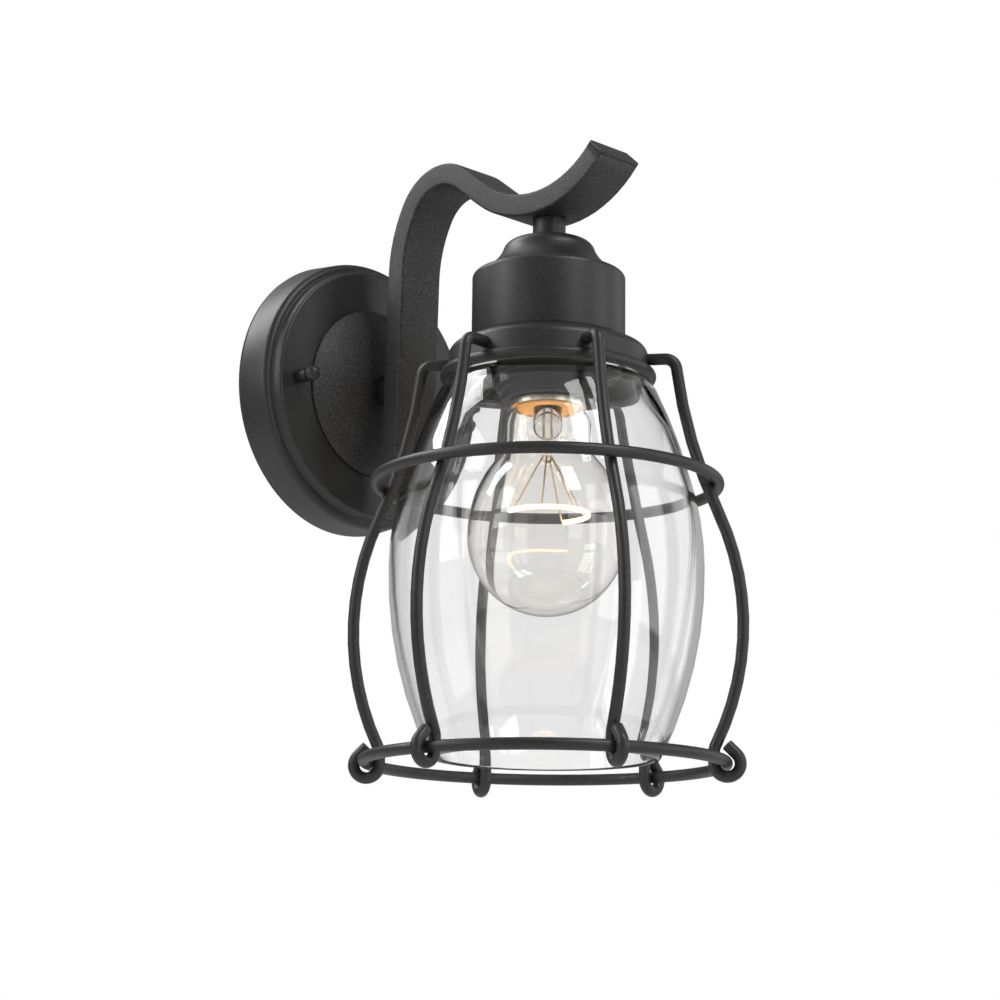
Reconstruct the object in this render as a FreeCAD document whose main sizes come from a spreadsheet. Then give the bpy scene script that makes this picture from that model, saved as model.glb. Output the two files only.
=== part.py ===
import FreeCAD, Part

import math
import os
import re

import Sketcher
from FreeCAD import Placement, Rotation, Vector

# Outdoor wall sconce: a domed back plate, a bent tube arm and a caged glass lantern.
# Origin: centre of the wall face. Wall plane at Y 0, lamp toward -Y, +Z up.

SIZES = [
    # clearances and overruns
    ("gap_fit", 0.05, "radial clearance of a hand fit"),
    ("gap_thread", 0.1, "radial clearance of a thread that turns"),
    ("gap_seat", 0.2, "clearance between faces that move past each other"),
    ("gap_part", 0.3, "clearance of loose parts"),
    ("joint_gap", 0.03, "hairline between pieces that are welded or sealed together"),
    ("cut_over", 1.0, "overrun of a cut past the face it starts from"),
    # mounting strap and its screws
    ("strap_play", 0.6, "strap's edge inside the gasket"),
    ("strap_thick", 2.0, "strap plate"),
    ("strap_bore", 26.0, "wire opening in the strap"),
    ("slot_edge", 3.05, "far end of a slot inside the strap's edge"),
    ("slot_long", 14.525, "length of a slot, for box screws 69.9 to 88.9 mm apart"),
    ("slot_wide", 5.0, "width of a slot for a box screw"),
    ("slot_flat", 0.1, "half the flat at a slot's end"),
    ("stud_edge", 8.7, "stud inside the edge of the raised face"),
    ("stud_dia", 3.5, "canopy stud"),
    ("stud_in", 6.9, "stud inside its cap nut"),
    ("ground_edge", 7.0, "ground screw from the edge of the wire opening"),
    ("ground_dia", 4.0, "ground screw shank"),
    ("ground_head_dia", 8.4, "ground screw head across corners"),
    ("ground_head", 2.8, "ground screw head height"),
    # back plate
    ("gasket_thick", 1.0, "foam gasket at the wall"),
    ("gasket_wide", 5.0, "gasket ring width"),
    ("plate_dia", 111.8, "back plate across at the wall"),
    ("plate_draft", 1.1, "taper of the plate's side"),
    ("plate_side", 12.6, "depth where the side's round begins"),
    ("plate_round", 2.6, "round of the plate's shoulder"),
    ("plate_wall", 1.2, "sheet of the back plate"),
    ("ledge_wide", 0.9, "flat ledge round the raised face"),
    ("step_draft", 0.8, "taper of the raised face's side"),
    ("face_rise", 4.0, "raised face above the ledge"),
    ("face_round", 1.2, "round of the raised face's edge"),
    ("nipple_dia", 9.7, "hollow threaded tube"),
    ("nipple_bore", 6.6, "wire way in the threaded tube"),
    ("nipple_over", 1.0, "threaded tube past its nut"),
    # dome casting under the arm
    ("dome_edge", 15.0, "dome casting inside the edge of the raised face"),
    ("dome_rise", 7.8, "height of the dome"),
    ("dome_rim", 0.8, "straight edge of the dome"),
    ("dome_wall", 3.0, "wall of the dome casting"),
    ("collar_dia", 12.6, "spacer between dome and arm"),
    ("collar_long", 7.785, "dome to the back of the arm"),
    # arm tube
    ("tube_wide", 21.0, "arm tube across its wide face"),
    ("tube_deep", 8.8, "arm tube across its narrow face"),
    ("tube_round", 1.0, "round of the tube's corners"),
    ("tube_wall", 1.2, "wall of the arm tube"),
    ("tube_inner_round", 0.3, "round of the corners inside the tube"),
    ("foot_drop", 44.0, "arm foot below the plate's centre"),
    ("lean_angle", 1.5, "lean of the leg away from the wall"),
    ("leg_long", 89.4, "straight leg of the arm"),
    ("ease_radius", 52.5, "gentle start of the upper bend"),
    ("ease_angle", 29.3, "turn of the gentle start"),
    ("crook_radius", 19.3, "tight part of the upper bend"),
    ("crook_angle", 96.7, "turn of the tight part"),
    ("slope_long", 16.35, "straight run down to the saddle"),
    ("saddle_radius", 43.5, "bend of the saddle over the lamp"),
    ("saddle_angle", 84.9, "turn of the saddle"),
    ("cap_thick", 1.6, "plate that closes each end of the tube"),
    # cap nuts
    ("nut_ball_dia", 6.4, "ball of the cap nut"),
    ("nut_neck_dia", 5.6, "neck of the cap nut"),
    ("nut_waist_dia", 4.8, "waist between neck and ball"),
    ("nut_neck", 4.0, "neck length"),
    ("nut_waist", 1.2, "waist length"),
    # hex locknuts
    ("lock_across", 15.9, "locknut across corners"),
    ("lock_thick", 3.2, "locknut thickness"),
    ("washer_dia", 20.0, "washer across"),
    ("washer_thick", 1.2, "washer thickness"),
    # stem and cup
    ("stem_back", 0.49, "stem behind the lowest point of the saddle"),
    ("stem_dia", 12.6, "sleeve between arm and cup"),
    ("stem_long", 9.06, "length of that sleeve"),
    ("cup_foot", 4.7, "lower edge of the cup above the lamp's datum"),
    ("cup_side", 24.2, "straight side of the cup"),
    ("cup_edge_out", 1.6, "round over the side, outward"),
    ("cup_edge_drop", 2.0, "round over the side, downward"),
    ("cup_edge_radius", 2.2, "radius of that round"),
    ("cup_flare_out", 9.9, "hollow flare, outward"),
    ("cup_flare_drop", 9.0, "hollow flare, downward"),
    ("cup_flare_radius", 17.0, "radius of the hollow flare"),
    ("cup_brow_out", 4.2, "round under the crown, outward"),
    ("cup_brow_drop", 4.0, "round under the crown, downward"),
    ("cup_brow_radius", 5.2, "radius of that round"),
    ("cup_crown", 13.5, "flat crown of the cup from its axis"),
    ("cup_wall", 1.2, "sheet of the cup"),
    # fitter band
    ("band_slope_out", 5.1, "fitter's sloped shoulder, outward from the cup's side"),
    ("band_slope_drop", 2.3, "fitter's sloped shoulder, downward"),
    ("band_round_out", 3.5, "round under the shoulder, outward"),
    ("band_round_drop", 3.5, "round under the shoulder, downward"),
    ("band_round_radius", 4.2, "radius of that round"),
    ("band_wall", 1.2, "sheet of the fitter"),
    ("bead_radius", 2.2, "rolled bead of the fitter"),
    ("bead_drop", 9.4, "bead's centre below the lamp's datum"),
    ("bead_out", 0.9, "bead's centre outside the band's face"),
    # lamp holder
    ("holder_wall", 5.45, "wall of the holder's threaded skirt"),
    ("holder_foot", 17.4, "skirt below the lamp's datum"),
    ("holder_tip", 3.5, "length of the skirt's lower end"),
    ("holder_step", 1.4, "step in at the skirt's lower end"),
    ("holder_flange_out", 4.3, "flange outside the skirt"),
    ("holder_flange", 2.2, "flange thickness"),
    ("holder_neck_in", 1.2, "holder's body inside the skirt's face"),
    ("holder_edge", 3.0, "bevel of the holder's top"),
    ("hub_dia", 15.0, "metal hub of the holder"),
    ("hub_long", 6.5, "height of the hub"),
    ("hub_space", 4.1, "hub to the locknut over it"),
    ("shell_wall", 0.5, "sheet of the screw shell"),
    ("shell_high", 10.4, "closed end of the screw shell"),
    ("shell_up", 2.3, "shell's edge above the skirt's"),
    ("tongue_wide", 5.0, "centre contact tongue"),
    ("tongue_high", 2.15, "height of the tongue"),
    ("tongue_hole", 0.7, "rivet hole of the tongue"),
    # shade ring and gasket
    ("ring_wall", 3.0, "wall of the shade ring"),
    ("ring_high", 8.9, "height of that wall with its flange"),
    ("ring_lip_wall", 1.3, "thin lip under the shade ring"),
    ("ring_lip", 2.2, "height of the lip"),
    ("ring_flange_out", 2.7, "flange outside the ring"),
    ("ring_flange", 2.6, "thickness of that flange"),
    ("pad_thick", 1.4, "rubber washer over the glass"),
    # glass shade
    ("glass_wall", 2.4, "wall of the glass shade"),
    ("glass_play", 1.0, "glass neck inside the fitter"),
    ("glass_hole_play", 1.3, "glass hole round the holder's skirt"),
    ("glass_top_round", 7.0, "round of the glass top"),
    ("glass_neck_foot", 8.6, "straight neck ends below the datum"),
    ("glass_turn_out", 1.35, "bend from neck to flare, outward"),
    ("glass_turn_drop", 2.6, "bend from neck to flare, downward"),
    ("glass_turn_radius", 3.6, "radius of that bend"),
    ("glass_flare_out", 4.15, "flare, outward"),
    ("glass_flare_drop", 4.3, "flare, downward"),
    ("glass_flare_radius", 24.0, "round of the flare"),
    ("glass_chest_out", 12.1, "flare to chest, outward"),
    ("glass_chest_drop", 32.5, "flare to chest, downward"),
    ("glass_chest_radius", 190.0, "curve from flare to chest"),
    ("glass_belly_out", 5.6, "chest to belly, outward"),
    ("glass_belly_drop", 35.0, "chest to belly, downward"),
    ("glass_belly_radius", 108.0, "curve from chest to belly"),
    ("glass_rim_in", 16.6, "belly to rim, inward"),
    ("glass_rim_drop", 71.1, "belly to rim, downward"),
    ("glass_rim_radius", 155.0, "curve from belly to rim"),
    # cage
    ("wire_dia", 4.4, "cage wire"),
    ("cage_wires", 6, "number of upright wires"),
    ("cage_turn_angle", 5.1, "turn of the cage about its axis"),
    ("wire_high", 3.5, "wire's top run below the datum"),
    ("wire_run", 8.1, "straight top run of a wire"),
    ("wire_corner_radius", 4.4, "bend under the top run"),
    ("wire_corner_angle", 83.0, "turn of that bend"),
    ("wire_waist_radius", 194.0, "outward curve along the neck"),
    ("wire_waist_angle", 17.1, "turn of the outward curve"),
    ("wire_belly_radius", 101.3, "inward curve round the belly"),
    ("wire_belly_angle", 50.3, "turn of the inward curve"),
    ("wire_knee_radius", 5.6, "bend into the hook"),
    ("hook_leg", 4.2, "straight inner leg of the hook"),
    ("hook_play", 0.77, "room of the hook round the bottom ring"),
    ("hook_angle", 225.0, "turn of the hook"),
    ("hook_tail", 5.0, "straight end of the hook"),
    ("ring_lift", 0.5, "bottom ring above the hook's centre"),
    ("mid_ring_drop", 51.0, "middle ring below the datum"),
    # bulb
    ("bulb_dia", 59.6, "bulb across"),
    ("bulb_wall", 0.8, "glass of the bulb"),
    ("bulb_upper_radius", 45.0, "curve above the bulb's widest place"),
    ("bulb_upper_angle", 40.0, "turn of that curve"),
    ("bulb_neck_radius", 12.5, "hollow curve of the bulb's neck"),
    ("bulb_neck_long", 5.0, "straight neck of the bulb"),
    ("bulb_shoulder_drop", 7.85, "height of the round under the base"),
    ("bulb_shoulder_radius", 8.0, "round under the base"),
    ("bulb_shoulder_gap", 0.4, "round's upper end below the base"),
    ("bulb_collar", 2.5, "glass collar inside the base"),
    ("base_dia", 26.2, "screw base of the bulb"),
    ("base_wall", 0.5, "sheet of the screw base"),
    ("base_long", 24.6, "screw base along its axis"),
    ("base_crown", 1.0, "height of the base's upper cone"),
    ("base_rim_dia", 28.3, "rolled rim at the foot of the screw base"),
    ("base_rim_high", 1.8, "height of the rolled rim"),
    ("base_rim_slope", 1.0, "slope over the rolled rim"),
    ("base_neck_dia", 17.0, "insulator across at its foot"),
    ("insulator_high", 3.4, "height of the insulator"),
    ("tip_dia", 9.6, "centre contact of the bulb"),
    ("tip_thick", 1.2, "height of the centre contact"),
    ("cement_thick", 1.5, "amber disc that closes the base"),
    ("mount_dia", 10.8, "glass mount's tube"),
    ("mount_long", 12.4, "mount below the base"),
    ("mount_wall", 0.7, "glass of the mount"),
    ("mount_trumpet", 2.7, "height of the mount's wide end"),
    ("rod_dia", 2.6, "glass rod under the mount"),
    ("rod_long", 9.6, "length of the rod"),
    ("lead_dia", 0.7, "support wire"),
    ("lead_count", 5, "number of support wires"),
    ("coil_dia", 1.0, "filament coil"),
    ("coil_spread", 15.5, "filament from the bulb's axis"),
    ("coil_fall", 19.9, "filament below the rod"),
    ("coil_angle", 220.0, "part circle that the filament covers"),
]

# Sizes and places that follow from the ones above.
FOLLOWING = {
    # back plate, gasket and strap
    "shoulder_in": "plate_dia / 2 - plate_draft - plate_round",
    "ledge_depth": "plate_side + plate_round",
    "step_foot": "shoulder_in - ledge_wide",
    "step_face": "step_foot - step_draft - face_round",
    "face_depth": "ledge_depth + face_rise",
    "gasket_out": "plate_dia / 2 - gap_part",
    "gasket_in": "gasket_out - gasket_wide",
    "strap_radius": "gasket_in - strap_play",
    "slot_middle": "strap_radius - slot_edge - slot_long / 2",
    "ground_place": "strap_bore / 2 + ground_edge",
    "nut_foot": "face_depth + gap_seat",
    "stud_long": "nut_foot + stud_in",
    "stud_place": "step_face - stud_edge",
    "nipple_way": "nipple_dia / 2 + gap_fit",
    # dome and arm
    "dome_radius": "step_face - dome_edge",
    "dome_sphere": "(dome_radius^2 + dome_rise^2) / (2 * dome_rise)",
    "dome_top": "face_depth + dome_rim + dome_rise - dome_sphere + sqrt(dome_sphere^2 - (collar_dia / 2)^2)",
    "hollow_out": "dome_radius - dome_wall",
    "hollow_rise": "dome_rise + dome_rim - dome_wall",
    "hollow_sphere": "(hollow_out^2 + hollow_rise^2) / (2 * hollow_rise)",
    "hollow_top": "face_depth + hollow_rise - hollow_sphere + sqrt(hollow_sphere^2 - (collar_dia / 2)^2)",
    "arm_back": "dome_top + collar_long",
    "arm_middle": "arm_back + tube_deep / 2 / cos(lean_angle)",
    "foot_depth": "arm_middle - foot_drop * tan(lean_angle)",
    "ease_end": "lean_angle + ease_angle",
    "crook_end": "ease_end + crook_angle",
    "leg_out": "leg_long * sin(lean_angle)",
    "ease_out": "ease_radius * (cos(lean_angle) - cos(ease_end))",
    "crook_out": "crook_radius * (cos(ease_end) - cos(crook_end))",
    "slope_out": "slope_long * sin(crook_end) - saddle_radius * cos(crook_end)",
    "leg_up": "leg_long * cos(lean_angle) - foot_drop",
    "ease_up": "ease_radius * (sin(ease_end) - sin(lean_angle))",
    "crook_up": "crook_radius * (sin(crook_end) - sin(ease_end))",
    "slope_up": "slope_long * cos(crook_end) + saddle_radius * (sin(crook_end) - 1)",
    "saddle_high": "leg_up + ease_up + crook_up + slope_up",
    "lamp_reach": "foot_depth + leg_out + ease_out + crook_out + slope_out - stem_back",
    "saddle_sag": "saddle_radius - sqrt(saddle_radius^2 - (stem_dia / 2)^2)",
    # cup and fitter, from the lamp's datum
    "cup_radius": "cup_crown + cup_brow_out + cup_flare_out + cup_edge_out",
    "cup_brow": "cup_crown + cup_brow_out",
    "cup_flare": "cup_brow + cup_flare_out",
    "edge_high": "cup_foot + cup_side",
    "flare_high": "edge_high + cup_edge_drop",
    "brow_high": "flare_high + cup_flare_drop",
    "cup_top": "brow_high + cup_brow_drop",
    "lamp_level": "saddle_high - tube_deep / 2 - stem_long - cup_top",
    "band_slope": "cup_radius + band_slope_out",
    "band_radius": "band_slope + band_round_out",
    "band_in": "band_radius - band_wall",
    "slope_low": "cup_foot - band_slope_drop",
    "band_side": "slope_low - band_round_drop",
    # lamp holder, shade ring and glass
    "base_seat": "base_dia / 2 + gap_thread",
    "holder_in": "base_seat + shell_wall + gap_fit",
    "holder_radius": "holder_in + holder_wall",
    "shell_top": "shell_high + shell_wall",
    "holder_roof": "shell_top + gap_fit",
    "locknut_low": "cup_top - cup_wall - washer_thick - lock_thick",
    "holder_top": "locknut_low - hub_space - hub_long",
    "pad_top": "cup_foot - band_wall",
    "glass_top": "pad_top - pad_thick",
    "ring_top": "glass_top - glass_wall - gap_part",
    "thread_in": "holder_radius + gap_thread",
    "ring_out": "thread_in + ring_wall",
    "glass_hole": "holder_radius + glass_hole_play",
    "glass_neck": "band_in - glass_play",
    "glass_turn": "glass_neck + glass_turn_out",
    "glass_flare": "glass_turn + glass_flare_out",
    "glass_chest": "glass_flare + glass_chest_out",
    "glass_belly": "glass_chest + glass_belly_out",
    "glass_rim": "glass_belly - glass_rim_in",
    "turn_low": "0 - glass_neck_foot - glass_turn_drop",
    "flare_low": "turn_low - glass_flare_drop",
    "chest_low": "flare_low - glass_chest_drop",
    "belly_low": "chest_low - glass_belly_drop",
    "rim_low": "belly_low - glass_rim_drop",
    # cage
    "wire_start": "band_in - gap_part",
    "wire_knee_angle": "wire_corner_angle - wire_waist_angle + wire_belly_angle - 90",
    "hook_radius": "wire_dia + (joint_gap + hook_play) / 2",
    # bulb
    "tip_high": "holder_roof - tongue_high - gap_seat",
    "tip_low": "tip_high - tip_thick",
    "base_high": "tip_low - insulator_high",
    "base_low": "base_high - base_long",
    "base_in": "base_dia / 2 - base_wall - gap_fit",
    "shoulder_high": "base_low - bulb_shoulder_gap",
    "neck_high": "shoulder_high - bulb_shoulder_drop",
    "neck_low": "neck_high - bulb_neck_long",
    "bend_low": "neck_low - bulb_neck_radius * sin(bulb_upper_angle)",
    "equator_low": "bend_low - bulb_upper_radius * sin(bulb_upper_angle)",
    "bend_out": "bulb_dia / 2 - bulb_upper_radius * (1 - cos(bulb_upper_angle))",
    "neck_out": "bend_out - bulb_neck_radius * (1 - cos(bulb_upper_angle))",
    "bulb_low": "equator_low - bulb_dia / 2",
    "mount_low": "base_low - mount_long",
    "mount_top": "base_low + mount_wall",
    "rod_low": "mount_low - rod_long",
    "coil_low": "rod_low - coil_fall",
}

doc = FreeCAD.newDocument("wall_sconce")
sheet = doc.addObject("Spreadsheet::Sheet", "Sizes")
sheet.set("A1", "what it is")
sheet.set("B1", "value")
for row, (alias, value, note) in enumerate(SIZES, 2):
    sheet.set("A%d" % row, note)
    sheet.set("B%d" % row, str(value))
    sheet.setAlias("B%d" % row, alias)
doc.recompute()

ALIASES = {alias for alias, value, note in SIZES}
UP = Vector(0, 0, 1)
ACROSS = Vector(1, 0, 0)
PARTS = []


def bound(text):
    """The text of a size with each name pointed at the sheet."""

    def pointed(match):
        name = match.group()
        if name in FOLLOWING:
            return "(%s)" % bound(FOLLOWING[name])
        return "Sizes." + name if name in ALIASES else name

    return re.sub(r"[a-z]\w*", pointed, text)


def number(text):
    """The value of a size in millimetres or degrees."""
    return float(sheet.evalExpression(bound(text)))


def bind(thing, where, text):
    """Tie one property to the sheet."""
    thing.setExpression(where, bound(text))


def kept(thing, name):
    """Name a finished piece and put it on the list of parts."""
    thing.Label = name
    PARTS.append(thing)
    return thing


def on_lamp(thing, turn=0.0, level=0.0):
    """Stand a piece on the lamp's upright axis, its own datum at the height level above the lamp's."""
    thing.Placement = Placement(Vector(), Rotation(UP, turn))
    bind(thing, "Placement.Base.y", "-lamp_reach")
    bind(thing, "Placement.Base.z", "lamp_level + %.6f" % level)


def on_wall(thing, place="0"):
    """Lay a piece's own Z axis straight out of the wall."""
    thing.Placement = Placement(Vector(), Rotation(ACROSS, 90))
    bind(thing, "Placement.Base.x", place)


def new_body(name):
    """A body for one piece."""
    return doc.addObject("PartDesign::Body", name + "_body")


def origin_part(body, role):
    """One plane or axis of a body's own origin."""
    return next(part for part in body.Origin.OriginFeatures if part.Role == role)


def sketch_in(body, name, plane):
    """An empty sketch on one of the body's origin planes."""
    sketch = body.newObject("Sketcher::SketchObject", name)
    sketch.AttachmentSupport = [(origin_part(body, plane), "")]
    sketch.MapMode = "FlatFace"
    return sketch


def hold(sketch, kind, references, text):
    """Add one dimension to a sketch and tie it to the sheet."""
    value = number(text)
    if kind == "Angle":
        value = math.radians(value)
    index = sketch.addConstraint(Sketcher.Constraint(kind, *references, value))
    bind(sketch, "Constraints[%d]" % index, text)


def hold_point(sketch, piece, end, x, y):
    """Fix one end of a piece of a sketch at named sizes."""
    for kind, axis, text in (("DistanceX", -2, x), ("DistanceY", -1, y)):
        if text == "0":
            sketch.addConstraint(Sketcher.Constraint("PointOnObject", piece, end, axis))
        else:
            hold(sketch, kind, (-1, 1, piece, end), text)


def arc_between(start, end, radius, side):
    """The short arc from start to end, turning left for side 1 and right for side -1."""
    chord = end - start
    half = chord.Length / 2
    reach = math.sqrt(max(radius * radius - half * half, 0.0))
    normal = Vector(-chord.y, chord.x, 0).normalize()
    centre = (start + end) * 0.5 + normal * (side * reach)
    first, last = (start, end) if side > 0 else (end, start)
    circle = Part.Circle(centre, UP, radius)
    return Part.ArcOfCircle(circle, circle.parameter(first), circle.parameter(last))


def outline(sketch, corners):
    """A closed loop. A corner is (x, y), or (x, y, radius, side) where an arc leads on to the next."""
    first = sketch.GeometryCount
    spots = [Vector(number(corner[0]), number(corner[1]), 0) for corner in corners]
    ends = []
    for spot, onward, corner in zip(spots, spots[1:] + spots[:1], corners):
        if len(corner) == 2:
            sketch.addGeometry(Part.LineSegment(spot, onward))
            ends.append((1, 2))
        else:
            radius, side = corner[2:]
            sketch.addGeometry(arc_between(spot, onward, number(radius), side))
            ends.append((1, 2) if side > 0 else (2, 1))
    count = len(corners)
    for index in range(count):
        after = (index + 1) % count
        sketch.addConstraint(
            Sketcher.Constraint("Coincident", first + index, ends[index][1], first + after, ends[after][0])
        )
    for index, corner in enumerate(corners):
        hold_point(sketch, first + index, ends[index][0], corner[0], corner[1])
        if len(corner) == 4:
            hold(sketch, "Radius", (first + index,), corner[2])


def circle(sketch, x, y, radius):
    """A circle with a named centre and radius."""
    centre = Vector(number(x), number(y), 0)
    index = sketch.addGeometry(Part.Circle(centre, UP, number(radius)))
    hold_point(sketch, index, 3, x, y)
    hold(sketch, "Radius", (index,), radius)


def route(sketch, x, y, heading, steps):
    """An open path of runs and tangent bends. Side 1 bends left, side -1 bends right."""
    spot = Vector(number(x), number(y), 0)
    spots = [spot]
    angle = math.radians(number(heading))
    last_end = None
    for index, step in enumerate(steps):
        ahead = Vector(math.cos(angle), math.sin(angle), 0)
        if len(step) == 1:
            onward = spot + ahead * number(step[0])
            sketch.addGeometry(Part.LineSegment(spot, onward))
            ends = (1, 2)
            hold(sketch, "Distance", (index,), step[0])
        else:
            radius, turn, side = number(step[0]), math.radians(number(step[1])), step[2]
            centre = spot + Vector(-ahead.y, ahead.x, 0) * (side * radius)
            angle += side * turn
            onward = centre + Vector(math.sin(angle), -math.cos(angle), 0) * (side * radius)
            ring = Part.Circle(centre, UP, radius)
            first, last = (spot, onward) if side > 0 else (onward, spot)
            start = ring.parameter(first)
            sketch.addGeometry(Part.ArcOfCircle(ring, start, start + turn))
            ends = (1, 2) if side > 0 else (2, 1)
            hold(sketch, "Radius", (index,), step[0])
            hold(sketch, "Angle", (index,), step[1])
        if last_end:
            sketch.addConstraint(Sketcher.Constraint("Tangent", index - 1, last_end, index, ends[0]))
        last_end = ends[1]
        spot = onward
        spots.append(spot)
    hold_point(sketch, 0, 1, x, y)
    hold(sketch, "Angle", (0,), heading)
    return spots


def turned(name, corners, holes=None):
    """A body of revolution about its own Z axis."""
    body = new_body(name)
    profile = sketch_in(body, name + "_profile", "XZ_Plane")
    outline(profile, corners)
    spun = body.newObject("PartDesign::Revolution", name + "_turned")
    spun.Profile = (profile, [""])
    spun.ReferenceAxis = (profile, ["V_Axis"])
    spun.Angle = 360
    doc.recompute()
    return kept(body, name)


def sleeve(name, inner, outer, low, high):
    """A plain tube about the body's Z axis."""
    return turned(name, [(inner, low), (outer, low), (outer, high), (inner, high)])


def cut_deep(body, name, profile, length, toward=1):
    """Cut a sketch's shape out of the body, and make sure that it removed something."""
    before = body.Shape.Volume
    pocket = body.newObject("PartDesign::Pocket", name)
    pocket.Profile = (profile, [""])
    pocket.Type = "Length"
    bind(pocket, "Length", length)
    pocket.Reversed = toward < 0
    doc.recompute()
    if body.Shape.Volume >= before:
        raise RuntimeError(name + " cut nothing")
    return pocket


def around(body, name, feature, count):
    """Repeat a cut evenly about the body's Z axis."""
    pattern = body.newObject("PartDesign::PolarPattern", name)
    pattern.Originals = [feature]
    pattern.Axis = (origin_part(body, "Z_Axis"), [""])
    pattern.Angle = 360
    pattern.Occurrences = int(number(count))
    body.Tip = pattern
    doc.recompute()


def piped(name, body, path, section):
    """A solid swept along a path sketch."""
    pipe = body.newObject("PartDesign::AdditivePipe", name + "_swept")
    pipe.Profile = (section, [""])
    pipe.Spine = (path, ["Edge%d" % (index + 1) for index in range(len(path.Shape.Edges))])
    doc.recompute()
    return kept(body, name)


def rounded_box(sketch, wide, deep, radius, middle="0"):
    """A rectangle with round corners, centred on the upright axis at the height middle."""
    x, y = "(%s) / 2" % wide, "(%s) / 2" % deep
    near_x, near_y = "%s - (%s)" % (x, radius), "%s - (%s)" % (y, radius)
    corners = []
    for first, second in (
        ((near_x, "-" + y), (x, "-(%s)" % near_y)),
        ((x, near_y), (near_x, y)),
        (("-(%s)" % near_x, y), ("-" + x, near_y)),
        (("-" + x, "-(%s)" % near_y), ("-(%s)" % near_x, "-" + y)),
    ):
        corners.append((first[0], "%s + %s" % (middle, first[1]), radius, 1))
        corners.append((second[0], "%s + %s" % (middle, second[1])))
    outline(sketch, corners)


def hex_nut(name, bore, low):
    """A hexagon nut whose lower face is at the height low on its own Z axis."""
    blank = doc.addObject("Part::Prism", name + "_blank")
    blank.Polygon = 6
    bind(blank, "Circumradius", "lock_across / 2")
    bind(blank, "Height", "lock_thick")
    bind(blank, "Placement.Base.z", low)
    drill = doc.addObject("Part::Cylinder", name + "_bore")
    bind(drill, "Radius", bore)
    bind(drill, "Height", "lock_thick + 2 * cut_over")
    bind(drill, "Placement.Base.z", "%s - cut_over" % low)
    nut = doc.addObject("Part::Cut", name + "_cut")
    nut.Base = blank
    nut.Tool = drill
    doc.recompute()
    return kept(nut, name)


# Mounting strap: a round steel plate with a wire opening, two slots and two stud holes.
def make_strap():
    body = sleeve("mounting_strap", "strap_bore / 2", "strap_radius", "0", "strap_thick")
    slot = sketch_in(body, "strap_slot_outline", "XY_Plane")
    rounded_box(slot, "slot_wide", "slot_long", "slot_wide / 2 - slot_flat", "slot_middle")
    slot_cut = cut_deep(body, "strap_slot", slot, "strap_thick", -1)
    around(body, "strap_slots", slot_cut, "2")
    studs = sketch_in(body, "strap_stud_outline", "XY_Plane")
    for side in ("-", ""):
        circle(studs, side + "stud_place", "0", "stud_dia / 2")
    circle(studs, "ground_place", "0", "ground_dia / 2 + gap_fit")
    cut_deep(body, "strap_stud_holes", studs, "strap_thick", -1)
    on_wall(body)


# Two plain studs screwed into the strap, one solid each in one node.
def make_studs():
    studs = []
    for side in ("left", "right"):
        stud = doc.addObject("Part::Cylinder", "stud_" + side)
        bind(stud, "Radius", "stud_dia / 2")
        bind(stud, "Height", "stud_long")
        on_wall(stud, "stud_place" if side == "right" else "-stud_place")
        studs.append(stud)
    pair = doc.addObject("Part::Compound", "canopy_studs_pair")
    pair.Links = studs
    doc.recompute()
    kept(pair, "canopy_studs")


# Green screw for the earth wire, with a hexagon head.
def make_ground_screw():
    head = doc.addObject("Part::Prism", "ground_head_blank")
    head.Polygon = 6
    bind(head, "Circumradius", "ground_head_dia / 2")
    bind(head, "Height", "ground_head")
    bind(head, "Placement.Base.z", "strap_thick")
    shank = doc.addObject("Part::Cylinder", "ground_shank")
    bind(shank, "Radius", "ground_dia / 2")
    bind(shank, "Height", "strap_thick")
    screw = doc.addObject("Part::Fuse", "ground_screw_fused")
    screw.Base = head
    screw.Tool = shank
    on_wall(screw, "ground_place")
    doc.recompute()
    kept(screw, "ground_screw")


# Foam ring that seals the plate to the wall.
def make_gasket():
    body = sleeve("wall_gasket", "gasket_in", "gasket_out", "0", "gasket_thick")
    on_wall(body)


# Back plate: a spun pan with a round shoulder and a raised flat face.
def make_plate():
    body = turned(
        "back_plate",
        [
            ("plate_dia / 2 - plate_wall", "gasket_thick"),
            ("plate_dia / 2", "gasket_thick"),
            ("plate_dia / 2 - plate_draft", "plate_side", "plate_round", 1),
            ("shoulder_in", "ledge_depth"),
            ("step_foot", "ledge_depth"),
            ("step_foot - step_draft", "face_depth - face_round", "face_round", 1),
            ("step_face", "face_depth"),
            ("nipple_way", "face_depth"),
            ("nipple_way", "face_depth - plate_wall"),
            ("step_face", "face_depth - plate_wall"),
            ("step_foot - plate_wall", "ledge_depth - plate_wall"),
            ("shoulder_in", "ledge_depth - plate_wall", "plate_round - plate_wall", -1),
            ("plate_dia / 2 - plate_draft - plate_wall", "plate_side"),
        ],
    )
    holes = sketch_in(body, "plate_stud_outline", "XY_Plane")
    for side in ("-", ""):
        circle(holes, side + "stud_place", "0", "stud_dia / 2 + gap_part")
    cut_deep(body, "plate_stud_holes", holes, "face_depth + cut_over", -1)
    on_wall(body)


# Domed casting that carries the arm, hollow behind.
def make_dome():
    body = turned(
        "arm_base_dome",
        [
            ("nipple_way", "face_depth"),
            ("collar_dia / 2", "face_depth"),
            ("collar_dia / 2", "hollow_top", "hollow_sphere", -1),
            ("hollow_out", "face_depth"),
            ("dome_radius", "face_depth"),
            ("dome_radius", "face_depth + dome_rim", "dome_sphere", 1),
            ("collar_dia / 2", "dome_top"),
            ("nipple_way", "dome_top"),
        ],
    )
    on_wall(body)


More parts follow.
